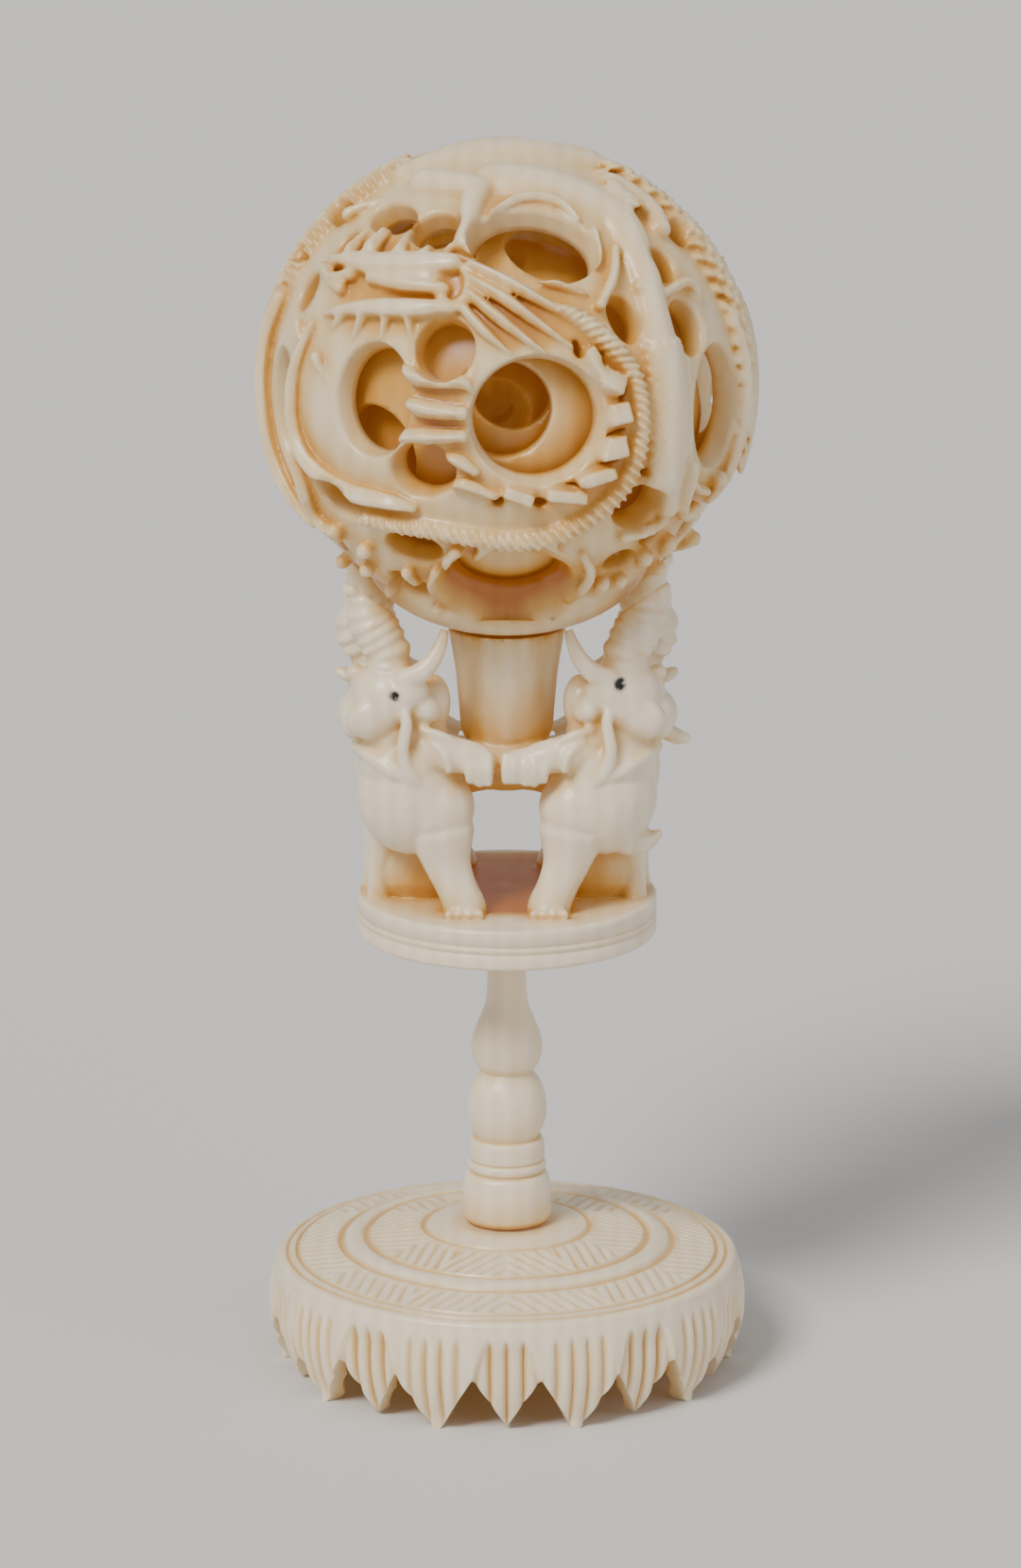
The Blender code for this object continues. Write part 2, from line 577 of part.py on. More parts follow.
def build_ball():
    bm = bmesh.new()
    carve_ball(bm)
    half_turn(bm)
    add_lump(bm, (0, 0, PAD_DEPTH - BALL_RADIUS), (PAD_RADIUS, PAD_RADIUS, PAD_DEPTH))
    bmesh.ops.create_icosphere(bm, subdivisions=5, radius=GROUND_RADIUS)
    ball = new_object("ball_outer", bm, parts)
    fuse(ball, BALL_VOXEL)
    for vert in ball.data.vertices:
        # The carving's tops lie on the sphere that the ball was turned to.
        vert.co *= min(1.0, BALL_RADIUS / vert.co.length)
    thin(ball, RELIEF_TRIANGLES)
    bore = bmesh.new()
    bmesh.ops.create_icosphere(bore, subdivisions=3, radius=BORE_RADIUS)
    cut(ball, bore)
    drills = bmesh.new()
    near, far = BORE_RADIUS * 0.85, BALL_RADIUS * 1.15
    for azimuth, elevation, angle in HOLES:
        drill(drills, azimuth, elevation, angle, near, far, 12)
    for azimuth, elevation, angle in HOLLOWS:
        drill(drills, azimuth, elevation, angle, near, far, 6)
    half_turn(drills)
    cut(ball, drills)
    thin(ball, BALL_TRIANGLES)
    keep_largest(ball)
    ball.location.z = BALL_HEIGHT
    return ball


def inner_directions():
    # Six piercings along the axes and eight between them, turned to show as in the outer ball.
    tilt = Matrix.Rotation(math.radians(-6), 3, "X") @ Matrix.Rotation(math.radians(9), 3, "Z")
    places = []
    for axis in range(3):
        for sign in (-1, 1):
            place = Vector((0, 0, 0))
            place[axis] = sign
            places.append(place)
    for x in (-1, 1):
        for y in (-1, 1):
            for z in (-1, 1):
                places.append(Vector((x, y, z)).normalized())
    return [tilt @ place for place in places]


def build_inner(number, outer_radius, inner_radius, height):
    bm = bmesh.new()
    bmesh.ops.create_icosphere(bm, subdivisions=2, radius=outer_radius)
    ball = new_object(f"ball_inner_{number}", bm, parts)
    bore = bmesh.new()
    bmesh.ops.create_icosphere(bore, subdivisions=2, radius=inner_radius)
    cut(ball, bore)
    drills = bmesh.new()
    turn = Matrix.Rotation(math.radians(13 * number), 3, "Z")
    for place in inner_directions():
        axis = turn @ place
        azimuth = math.degrees(math.atan2(axis.x, -axis.y))
        elevation = math.degrees(math.asin(axis.z))
        drill(drills, azimuth, elevation, HOLE_ANGLE, inner_radius * 0.8, outer_radius * 1.2, 6)
    cut(ball, drills)
    thin(ball, INNER_TRIANGLES)
    ball.location.z = height
    return ball


for leftover in list(bpy.data.objects):
    bpy.data.objects.remove(leftover)

parts = collection("carved_puzzle_ball")
cutters = collection("cutters")

foot = build_foot()
stem = turned("stem", stem_profile(), STEM_SIDES, parts)
stand = build_stand()
ball = build_ball()
pieces = [foot, stem, stand, ball]

# Each inner ball lies on the bottom of the bore around it.
bore, height = BORE_RADIUS, BALL_HEIGHT
for number in range(1, INNER_BALLS + 1):
    outer_radius = bore - INNER_PLAY
    wall = CORE_WALL if number == INNER_BALLS else INNER_WALL
    height -= INNER_PLAY - GAP
    pieces.append(build_inner(number, outer_radius, outer_radius - wall, height))
    bore = outer_radius - wall

for piece in pieces:
    deep = piece.name.startswith("ball_inner")
    piece.data.materials.clear()
    piece.data.materials.append(ivory(piece.name + "_ivory", DEEP_IVORY if deep else IVORY))
    piece.data.shade_smooth()
    piece.data.set_sharp_from_angle(angle=math.radians(35))
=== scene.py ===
import math
import time

import bmesh
import bpy
from mathutils import Matrix, Vector
from mathutils.bvhtree import BVHTree


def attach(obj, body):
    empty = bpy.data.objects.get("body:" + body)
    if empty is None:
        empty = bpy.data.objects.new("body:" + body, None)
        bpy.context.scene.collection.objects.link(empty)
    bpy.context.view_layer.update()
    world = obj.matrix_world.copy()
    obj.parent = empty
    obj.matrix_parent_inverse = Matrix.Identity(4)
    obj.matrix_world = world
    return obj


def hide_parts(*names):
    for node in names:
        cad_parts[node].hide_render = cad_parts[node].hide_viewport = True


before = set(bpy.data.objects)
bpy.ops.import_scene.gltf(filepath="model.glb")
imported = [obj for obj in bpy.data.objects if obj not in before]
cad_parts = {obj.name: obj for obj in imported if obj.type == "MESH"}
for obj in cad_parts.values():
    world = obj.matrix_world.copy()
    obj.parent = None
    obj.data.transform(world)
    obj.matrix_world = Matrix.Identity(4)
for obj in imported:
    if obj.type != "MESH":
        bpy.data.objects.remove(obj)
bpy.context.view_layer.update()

# A carved ivory puzzle ball on elephants, a turned stem and a lotus foot.
# Lengths below are in mm unless a note says otherwise, and the scene itself is in metres.
mm = 0.001
gap = 0.3                      # between pieces that touch, as in the solids
started = time.time()


def report(stage):
    print(f"{stage} ({time.time() - started:.0f} s)")


def hexColour(text):
    # sRGB hex to the linear values that a shader wants
    channels = [int(text[i:i + 2], 16) / 255 for i in (1, 3, 5)]
    linear = [c / 12.92 if c <= 0.04045 else ((c + 0.055) / 1.055) ** 2.4 for c in channels]
    return (*linear, 1.0)


# Camera, at the photograph's height above the foot and its long focal length
cameraSet = {"pitch": 15.4, "lens": 189.0, "distance": 892.0, "target": (0.4, 0.0, 65.6)}


def addCamera():
    data = bpy.data.cameras.new("camera")
    data.lens = cameraSet["lens"]
    data.sensor_width = 36.0
    data.clip_start = 0.05
    data.clip_end = 20.0
    camera = bpy.data.objects.new("camera", data)
    bpy.context.scene.collection.objects.link(camera)
    pitch = math.radians(cameraSet["pitch"])
    away = Vector((0.0, -math.cos(pitch), math.sin(pitch))) * cameraSet["distance"]
    camera.location = (Vector(cameraSet["target"]) + away) * mm
    camera.rotation_euler = (math.radians(90) - pitch, 0.0, 0.0)
    bpy.context.scene.camera = camera


# Wide, even studio light, so that the sweep keeps one tone up to the top of the picture
lightSet = {
    "key": {"from": (-0.55, -0.75, 0.95), "angle": 20.0, "strength": 3.05, "colour": "#FFFCF6"},
    "fill": {"from": (0.9, -0.7, 0.45), "angle": 60.0, "strength": 0.6, "colour": "#F8FAFF"},
    "world": "#DADADB",
    "worldStrength": 0.58,
}


def addLights():
    for name in ("key", "fill"):
        values = lightSet[name]
        data = bpy.data.lights.new(name, "SUN")
        data.angle = math.radians(values["angle"])
        data.energy = values["strength"]
        data.color = hexColour(values["colour"])[:3]
        lamp = bpy.data.objects.new(name, data)
        bpy.context.scene.collection.objects.link(lamp)
        lamp.rotation_euler = (-Vector(values["from"])).to_track_quat("-Z", "Y").to_euler()
    world = bpy.data.worlds.new("studio")
    world.use_nodes = True
    background = world.node_tree.nodes["Background"]
    background.inputs["Color"].default_value = hexColour(lightSet["world"])
    background.inputs["Strength"].default_value = lightSet["worldStrength"]
    bpy.context.scene.world = world


def addNode(tree, kind, links=(), **settings):
    # One shader node. Settings name a property, or a socket by its name or number.
    node = tree.nodes.new(kind)
    for name, value in settings.items():
        if hasattr(node, name):
            setattr(node, name, value)
        else:
            key = int(name[1:]) if name[0] == "i" and name[1:].isdigit() else name.replace("_", " ")
            node.inputs[key].default_value = value
    for socket, source in links:
        tree.links.new(source, node.inputs[socket])
    return node


# Polished elephant ivory: dense, fine, faintly banded, cream where light falls and amber in the
# hollows, where the amber is painted shade
ivorySet = {
    "cream": "#F0E1C9",
    "warm": "#E0C89C",
    "honey": "#CB9A4C",
    "amber": "#A05D18",
    "ink": "#0B0A0A",
    "veil": "#FAF6EE",             # what the growth bands are tinted by
    "roughness": 0.33,
    "scatter": 0.22,               # share of light that goes through the skin
    "reach": 1.6,                  # mm that it travels
    "grain": 1.1,                  # mm between the faint growth bands
    "pores": 0.25,                 # mm
    "mottle": 6.0,                 # mm
    # ramp stops from lit cream to the amber of painted shade, read along the hollows' painted shade and
    # stain
    "stops": [(0.08, "cream"), (0.92, "amber"), (0.30, "warm"), (0.58, "honey")],
    "paintedGlow": 0.24,                  # painted light: emission in the deepest hollows, for light that comes through the walls
}


def carvedIvory(name, shade=0.0):
    # shade is painted shade: it moves the whole piece towards amber and adds to its painted glow, as on
    # the inner balls inside the outer ball's shade
    material = bpy.data.materials.new(name)
    material.use_nodes = True
    tree = material.node_tree
    shader = tree.nodes["Principled BSDF"]
    place = addNode(tree, "ShaderNodeTexCoord").outputs["Object"]
    # how shut in each point is, plus stain: the painted shade that moves the colour along the ramp
    depth = addNode(tree, "ShaderNodeAttribute", attribute_name="painted_hollow_shade_and_stain").outputs["Fac"]
    ink = addNode(tree, "ShaderNodeAttribute", attribute_name="ink").outputs["Fac"]
    mottle = addNode(tree, "ShaderNodeTexNoise", [("Vector", place)], Detail=3.0,
                     Scale=1 / (ivorySet["mottle"] * mm))
    uneven = addNode(tree, "ShaderNodeMath", [(0, mottle.outputs["Fac"])], operation="MULTIPLY_ADD",
                     i1=0.14, i2=-0.07 + shade)
    deep = addNode(tree, "ShaderNodeMath", [(0, depth), (1, uneven.outputs[0])], operation="ADD")
    ramp = addNode(tree, "ShaderNodeValToRGB", [("Fac", deep.outputs[0])])
    stops = ramp.color_ramp.elements
    for count, (position, tone) in enumerate(ivorySet["stops"]):
        stop = stops[count] if count < 2 else stops.new(position)
        stop.position = position
        stop.color = hexColour(ivorySet[tone])
    bands = addNode(tree, "ShaderNodeTexWave", [("Vector", place)], Distortion=2.5, Detail=2.0,
                    Scale=1 / (6.3 * ivorySet["grain"] * mm), bands_direction="X")
    veil = addNode(tree, "ShaderNodeMixRGB", blend_type="MULTIPLY", Color2=hexColour(ivorySet["veil"]),
                   links=[("Fac", bands.outputs["Fac"]), ("Color1", ramp.outputs["Color"])])
    inked = addNode(tree, "ShaderNodeMixRGB", [("Fac", ink), ("Color1", veil.outputs["Color"])],
                    Color2=hexColour(ivorySet["ink"]))
    tree.links.new(inked.outputs["Color"], shader.inputs["Base Color"])
    # painted glow: emission that grows with the painted shade, so that the deepest hollows light up
    # amber
    paintedGlow = addNode(tree, "ShaderNodeMath", [(0, deep.outputs[0])], operation="MULTIPLY", use_clamp=True,
                   i1=ivorySet["paintedGlow"] + 0.2 * shade)
    tree.links.new(inked.outputs["Color"], shader.inputs["Emission Color"])
    tree.links.new(paintedGlow.outputs[0], shader.inputs["Emission Strength"])
    pores = addNode(tree, "ShaderNodeTexNoise", [("Vector", place)], Scale=1 / (ivorySet["pores"] * mm),
                    Detail=4.0)
    rough = addNode(tree, "ShaderNodeMapRange", [("Value", mottle.outputs["Fac"])],
                    i3=ivorySet["roughness"] - 0.07, i4=ivorySet["roughness"] + 0.09)
    tree.links.new(rough.outputs[0], shader.inputs["Roughness"])
    bump = addNode(tree, "ShaderNodeBump", [("Height", pores.outputs["Fac"])], Strength=0.12,
                   Distance=0.02 * mm)
    tree.links.new(bump.outputs["Normal"], shader.inputs["Normal"])
    shader.inputs["IOR"].default_value = 1.54
    shader.inputs["Subsurface Weight"].default_value = ivorySet["scatter"]
    shader.inputs["Subsurface Radius"].default_value = (1.0, 0.55, 0.28)
    shader.inputs["Subsurface Scale"].default_value = ivorySet["reach"] * mm
    return material


floorSet = {"colour": "#D9D8D6", "roughness": 0.85, "reach": 4000.0}


def addFloor():
    bm = bmesh.new()
    bmesh.ops.create_grid(bm, x_segments=1, y_segments=1, size=floorSet["reach"] * mm)
    floor = newPiece("floor", bm)
    paper = bpy.data.materials.new("matte_backdrop_paper")     # a smooth paper sweep, no gloss
    paper.use_nodes = True
    shader = paper.node_tree.nodes["Principled BSDF"]
    shader.inputs["Base Color"].default_value = hexColour(floorSet["colour"])
    shader.inputs["Roughness"].default_value = floorSet["roughness"]
    floor.data.materials.append(paper)


def newPiece(name, bm):
    mesh = bpy.data.meshes.new(name)
    bm.to_mesh(mesh)
    bm.free()
    piece = bpy.data.objects.new(name, mesh)
    bpy.context.scene.collection.objects.link(piece)
    return piece


def settle(piece):
    # Turns what the modifiers make into the piece's own mesh
    bpy.context.view_layer.update()
    depsgraph = bpy.context.evaluated_depsgraph_get()
    old = piece.data
    mesh = bpy.data.meshes.new_from_object(piece.evaluated_get(depsgraph))
    piece.modifiers.clear()
    piece.data = mesh
    bpy.data.meshes.remove(old)


def fuse(piece, voxel):
    # Melts overlapping shapes into one carved body
    melt = piece.modifiers.new("melt", "REMESH")
    melt.mode = "VOXEL"
    melt.voxel_size = voxel * mm
    settle(piece)


def carveAway(piece, bm, operation="DIFFERENCE"):
    tool = newPiece(piece.name + "Tool", bm)
    boolean = piece.modifiers.new("carve", "BOOLEAN")
    boolean.operation = operation
    boolean.solver = "MANIFOLD"
    boolean.object = tool
    settle(piece)
    bpy.data.objects.remove(tool)


def thinTo(piece, triangles):
    count = sum(len(face.vertices) - 2 for face in piece.data.polygons)
    if count > triangles:
        thin = piece.modifiers.new("thin", "DECIMATE")
        thin.ratio = triangles / count
        settle(piece)


def soften(piece, times, factor=0.5):
    bm = bmesh.new()
    bm.from_mesh(piece.data)
    for _ in range(times):
        bmesh.ops.smooth_vert(bm, verts=bm.verts, factor=factor, use_axis_x=True, use_axis_y=True,
                              use_axis_z=True)
    bm.to_mesh(piece.data)
    bm.free()


def keepLargest(piece):
    bm = bmesh.new()
    bm.from_mesh(piece.data)
    waiting = set(bm.verts)
    islands = []
    while waiting:
        reached = {waiting.pop()}
        front = list(reached)
        while front:
            for edge in front.pop().link_edges:
                for vert in edge.verts:
                    if vert in waiting:
                        waiting.remove(vert)
                        reached.add(vert)
                        front.append(vert)
        islands.append(reached)
    islands.sort(key=len)
    crumbs = [vert for island in islands[:-1] for vert in island]
    bmesh.ops.delete(bm, geom=crumbs, context="VERTS")
    bm.to_mesh(piece.data)
    bm.free()


def raiseBy(piece, height):
    # From the middle of the ball's own space to its place on the stand
    bm = bmesh.new()
    bm.from_mesh(piece.data)
    bmesh.ops.translate(bm, verts=bm.verts, vec=(0, 0, height * mm))
    bm.to_mesh(piece.data)
    bm.free()


def stainAndShadeBy(piece, amount):
    # How much darker each point is made: partly real stain, partly painted shade where shade falls
    stain_and_painted_shade = piece.data.attributes.new("stain_and_painted_shade", "FLOAT", "POINT")
    stain_and_painted_shade.data.foreach_set("value", [amount(vert.co) for vert in piece.data.vertices])


def placed(across, upward, outward, centre):
    # The matrix that puts a unit shape's axes on three others and its middle at a place
    return Matrix((
        (across.x, upward.x, outward.x, centre.x),
        (across.y, upward.y, outward.y, centre.y),
        (across.z, upward.z, outward.z, centre.z),
        (0, 0, 0, 1)))


def section(point, along, outward, halfWidth, halfHeight):
    # Where a unit circle goes to become one cross section of a sweep
    along = along.normalized()
    across = along.cross(outward).normalized()
    return placed(across * halfWidth, across.cross(along) * halfHeight, along, point)


def pour(bm, target):
    # Adds one bmesh to another
    mesh = bpy.data.meshes.new("poured")
    bm.to_mesh(mesh)
    bm.free()
    target.from_mesh(mesh)
    bpy.data.meshes.remove(mesh)


def sweep(target, stations, sides=14):
    # A closed limb through stations of point, outward direction, half width and half height, in mm
    bm = bmesh.new()
    bmesh.ops.create_circle(bm, cap_ends=True, segments=sides, radius=1.0)
    last = Matrix()
    for index, (point, outward, halfWidth, halfHeight) in enumerate(stations):
        before = stations[max(0, index - 1)][0]
        after = stations[min(len(stations) - 1, index + 1)][0]
        matrix = section(point, after - before, outward, halfWidth, halfHeight)
        if index == 0:
            bmesh.ops.transform(bm, matrix=matrix, verts=bm.verts)
            cap = bm.faces[:]
        else:
            grown = bmesh.ops.extrude_face_region(bm, geom=cap)["geom"]
            cap = [item for item in grown if isinstance(item, bmesh.types.BMFace)]
            verts = [item for item in grown if isinstance(item, bmesh.types.BMVert)]
            bmesh.ops.transform(bm, matrix=matrix @ last.inverted(), verts=verts)
        last = matrix
    bmesh.ops.recalc_face_normals(bm, faces=bm.faces)
    bmesh.ops.scale(bm, verts=bm.verts, vec=Vector((mm, mm, mm)))
    pour(bm, target)


def curveAt(before, start, end, after, t):
    # Catmull-Rom between start and end
    bend = 2 * start + (end - before) * t
    bend += (2 * before - 5 * start + 4 * end - after) * t ** 2
    bend += (3 * start - before - 3 * end + after) * t ** 3
    return bend / 2


def smoothPath(knots, step):
    # A smooth line through knots of equal length lists, a point about every step mm
    rows = [Vector(knot) for knot in knots]
    rows = [rows[0] * 2 - rows[1]] + rows + [rows[-1] * 2 - rows[-2]]
    path = []
    for index in range(1, len(rows) - 2):
        before, start, end, after = rows[index - 1:index + 3]
        length = (Vector(end[:3]) - Vector(start[:3])).length
        steps = max(1, round(length / step))
        path += [curveAt(before, start, end, after, count / steps) for count in range(steps)]
    path.append(rows[-2])
    return path


def egg(target, centre, radii, turn=(0.0, 0.0, 0.0), detail=3):
    # A rounded lump, in mm, turned about X, Y and Z in degrees
    spin = Matrix.Identity(4)
    for axis, angle in zip("XYZ", turn):
        spin = Matrix.Rotation(math.radians(angle), 4, axis) @ spin
    size = Matrix.Diagonal((*[radius * mm for radius in radii], 1.0))
    matrix = Matrix.Translation(Vector(centre) * mm) @ spin @ size
    bm = bmesh.new()
    bmesh.ops.create_icosphere(bm, subdivisions=detail, radius=1.0, matrix=matrix)
    pour(bm, target)


def limb(target, *knots, wrinkle=0.0, pitch=1.2, step=0.5, sides=16):
    # A round limb through knots of x, y, z and radius, with rings round it if it is wrinkled
    path = smoothPath(knots, min(step, pitch / 5) if wrinkle else step)
    stations = []
    travelled = 0.0
    previous = Vector(path[0][:3])
    for row in path:
        point = Vector(row[:3])
        travelled += (point - previous).length
        previous = point
        radius = max(0.12, row[3])
        radius *= 1 + wrinkle * math.sin(2 * math.pi * travelled / pitch)
        stations.append((point, Vector((0.13, -1.0, 0.21)), radius, radius))
    first, final = stations[0], stations[-1]
    sweep(target, stations, sides)
    egg(target, first[0], [first[2]] * 3)
    egg(target, final[0], [final[2]] * 3)


def copied(bm):
    # Points and faces of a copy of everything
    copy = bmesh.ops.duplicate(bm, geom=bm.verts[:] + bm.edges[:] + bm.faces[:])["geom"]
    kinds = (bmesh.types.BMVert, bmesh.types.BMFace)
    return [[item for item in copy if isinstance(item, kind)] for kind in kinds]


def mirrored(bm, flip):
    # Adds a copy of everything on the other side of X or Y
    verts, faces = copied(bm)
    bmesh.ops.scale(bm, verts=verts, vec=Vector((-1, 1, 1)) if flip == "X" else Vector((1, -1, 1)))
    bmesh.ops.reverse_faces(bm, faces=faces)


def halfTurned(bm):
    # Adds a copy of everything turned half round Z
    verts, _ = copied(bm)
    bmesh.ops.rotate(bm, verts=verts, cent=(0, 0, 0), matrix=Matrix.Rotation(math.pi, 3, "Z"))


# The turned and carved sizes, the same as the solids
footSet = {
    "height": 12.5, "dome": 3.4, "seat": 5.4, "radius": 25.3, "bulge": 1.0, "tipInset": 0.6,
    "wall": 2.6, "deck": 4.0, "rimRound": 0.7, "rimSteps": 6, "skirtRows": 18, "columns": 96,
    "petals": 10, "broadFlutes": 5, "narrowFlutes": 4, "broadShare": 0.54, "fluteDepth": 0.7,
    "notch": 6.3, "narrowLift": 0.4, "tipFlat": 0.9, "setBack": 0.6, "tipWall": 1.9, "wedge": 1.3,
    "innerBand": (9.7, 15.0), "outerBand": (18.7, 22.7), "hatchGroups": 12, "lean": 30.0,
    "hatchPitch": 1.3, "lineWidth": 0.5, "lineDepth": 0.26, "ringRise": 0.3, "raised": (15.7, 17.9),
    # turned lines: radius, width and depth
    "rings": [(9.1, 0.8, 0.32), (15.4, 0.9, 0.35), (18.2, 0.9, 0.35), (23.05, 0.5, 0.26),
              (24.1, 0.45, 0.24)],
}
stemSet = {"bottom": 16.2, "height": 32.7, "drum": 4.85, "neck": 2.1, "steps": 96}
plateSet = {
    "radius": 16.3, "top": 53.7, "bottom": 49.2, "edgeRound": 0.5, "groove": 0.22,
    "lines": (0.42, 0.6), "steps": 128, "sink": 0.6, "longest": 1.0, "triangles": 180000,
}
# the ball's base stain value is its own warmer tone; painted shade on the lower opening's wall is added
# to it
ballSet = {
    "height": 110.0, "radius": 27.0, "relief": 1.9, "wall": 2.7, "slack": 0.35, "voxel": 0.24,
    "longest": 1.1, "triangles": 135000, "stain_and_painted_shade": 0.15,
}
# painted shade of the inner balls, and how much more each deeper one gets
innerSet = {
    "count": 3, "play": 1.5, "wall": 1.6, "coreWall": 8.2, "holeAngle": 14.6, "sides": 64,
    "shade": 0.23, "shadeStep": 0.07,
}


def petalAt(angle):
    # The share of a petal that the angle falls in, and whether it is a broad one
    turn = 2 * math.pi / footSet["petals"]
    place = (angle / turn + footSet["broadShare"] / 2) % 1.0
    if place < footSet["broadShare"]:
        return place / footSet["broadShare"], True
    return (place - footSet["broadShare"]) / (1 - footSet["broadShare"]), False


def petalShape(angle):
    # Lower edge, mm in from the petal's side, flute height and set back of the skirt at an angle
    across, broad = petalAt(angle)
    fromMiddle = abs(across - 0.5) * 2
    pitch = 2 * math.pi * footSet["radius"] / footSet["petals"]
    if broad:
        width = pitch * footSet["broadShare"]
        flat = footSet["tipFlat"] / width
        low = footSet["notch"] * max(0.0, fromMiddle - flat) / (1 - flat)
        flute = abs(math.sin(math.pi * across * footSet["broadFlutes"])) ** 0.6
        return low, (1 - fromMiddle) * width / 2, flute, 0.0
    width = pitch * (1 - footSet["broadShare"])
    low = footSet["narrowLift"] + (footSet["notch"] - footSet["narrowLift"]) * fromMiddle
    flute = abs(math.sin(math.pi * across * footSet["narrowFlutes"])) ** 0.6
    return low, (1 - fromMiddle) * width / 2, flute, footSet["setBack"]


def fade(value):
    # 0 to 1 with soft ends
    value = min(1.0, max(0.0, value))
    return value * value * (3 - 2 * value)


def skirtPlaces(angle):
    # Radius, height and darkening from the rim's top down the petals' outer face, a little darker in
    # the flutes, then the inner wall, darkened with painted shade
    values = footSet
    low, side, flute, back = petalShape(angle)
    top = values["height"] - values["rimRound"]
    places = []
    for count in range(1, values["rimSteps"]):
        bend = math.pi / 2 * count / values["rimSteps"]
        places.append((values["radius"] - values["rimRound"] * (1 - math.sin(bend)),
                       values["height"] - values["rimRound"] * (1 - math.cos(bend)), 0.0))
    for row in range(values["skirtRows"] + 1):
        height = top + (low - top) * row / values["skirtRows"]
        down = 1 - height / top
        swell = math.sin(math.pi * min(1.0, down * 1.15)) ** 0.8
        radius = values["radius"] + values["bulge"] * swell - values["tipInset"] * down ** 2
        wedge = values["wedge"] * (height - values["notch"]) / (top - values["notch"])
        shown = fade((side - wedge) / 0.45) * fade((top - height - 0.9) / 1.2)
        setBack = back * fade((side - wedge) / 0.5) * fade((top - height - 0.9) / 2.5)
        groove = (1 - flute) * shown
        places.append((radius - values["fluteDepth"] * groove - setBack, height, 0.06 * groove))
    radius = places[-1][0]
    places.append((radius - values["tipWall"], low, 0.3))
    places.append((values["radius"] - values["wall"], values["height"] - values["deck"], 0.3))
    return places


def hatchLines():
    # Middle, direction and band of every engraved line, whose lean changes from group to group
    values = footSet
    lines = []
    for low, high in (values["innerBand"], values["outerBand"]):
        middle = (low + high) / 2
        for group in range(values["hatchGroups"]):
            centre = 2 * math.pi * (group + 0.5) / values["hatchGroups"]
            lean = math.radians(values["lean"]) * (1 if group % 2 else -1)
            direction = Vector((math.cos(centre + lean), math.sin(centre + lean)))
            across = Vector((-direction.y, direction.x))
            reach = middle * math.pi / values["hatchGroups"] + 1.2
            count = round(2 * reach / values["hatchPitch"])
            for line in range(count + 1):
                offset = (line / count - 0.5) * 2 * reach
                base = Vector((math.cos(centre), math.sin(centre))) * middle + across * offset
                lines.append((group, low, high, base, across))
    return lines


def deckHeight(radius):
    # A shallow dome, flat under the stem, with one raised ring
    values = footSet
    share = max(0.0, radius - values["seat"]) / (values["radius"] - values["rimRound"] - values["seat"])
    low, high = values["raised"]
    ring = fade((radius - low) / 0.7) * fade((high - radius) / 0.7) * values["ringRise"]
    return values["height"] + values["dome"] * (1 - min(1.0, share) ** 1.25) + ring


def engravedDepth(angle, radius, lines):
    # How deep the deck is cut at a place: hatched bands, turned lines and the raised ring's edges
    values = footSet
    depth = 0.0
    group = int(angle / (2 * math.pi) * values["hatchGroups"]) % values["hatchGroups"]
    point = Vector((math.cos(angle), math.sin(angle))) * radius
    for owner, low, high, base, across in lines:
        if owner != group or not low < radius < high:
            continue
        away = abs((point - base).dot(across)) / (values["lineWidth"] / 2)
        if away < 1:
            ends = fade((radius - low) / 0.4) * fade((high - radius) / 0.4)
            depth = max(depth, values["lineDepth"] * (1 - away * away) * ends)
    for ring, width, cut in values["rings"]:
        away = abs(radius - ring) / (width / 2)
        if away < 1:
            depth = max(depth, cut * (1 - away * away))
    return depth


def deckRadii():
    # Closer together where a turned line is cut
    values = footSet
    radii = {round(4.9 + 0.36 * count, 2) for count in range(55)}
    for ring, width, _ in values["rings"]:
        radii = {radius for radius in radii if abs(radius - ring) > width / 2 + 0.1}
        radii |= {round(ring + width / 2 * share, 3) for share in (-1, -0.66, -0.33, 0, 0.33, 0.66, 1)}
    return sorted(radius for radius in radii if radius < values["radius"] - values["rimRound"] - 0.1)


def buildFoot():
    values = footSet
    columns = values["petals"] * values["columns"]
    radii = deckRadii()
    bm = bmesh.new()
    stainAndShade = bm.verts.layers.float.new("stain_and_painted_shade")
    bmesh.ops.create_circle(bm, cap_ends=False, segments=columns, radius=1.0)
    edges = bm.edges[:]

    def place(vert):
        return round(math.atan2(vert.co.y, vert.co.x) / (2 * math.pi) * columns) % columns

    rings = [sorted(bm.verts, key=place)]
    for _ in range(len(radii) + len(skirtPlaces(0.0)) - 1):
        grown = bmesh.ops.extrude_edge_only(bm, edges=edges)["geom"]
        edges = [item for item in grown if isinstance(item, bmesh.types.BMEdge)]
        verts = [item for item in grown if isinstance(item, bmesh.types.BMVert)]
        rings.append(sorted(verts, key=place))
    lines = hatchLines()
    for index in range(columns):
        angle = 2 * math.pi * index / columns
        group = int(angle / (2 * math.pi) * values["hatchGroups"])
        nearby = [line for line in lines if line[0] == group]
        places = []
        for radius in radii:
            depth = engravedDepth(angle, radius, nearby)
            places.append((radius, deckHeight(radius) - depth, 0.55 * depth))
        places += skirtPlaces(angle)
        for verts, (radius, height, stain_and_painted_shade) in zip(rings, places):
            outward = Vector((math.cos(angle) * radius, math.sin(angle) * radius, height))
            verts[index].co = outward * mm
            verts[index][stainAndShade] = stain_and_painted_shade
    bmesh.ops.holes_fill(bm, edges=bm.edges, sides=0)
    bmesh.ops.recalc_face_normals(bm, faces=bm.faces)
    return newPiece("lotusFoot", bm)


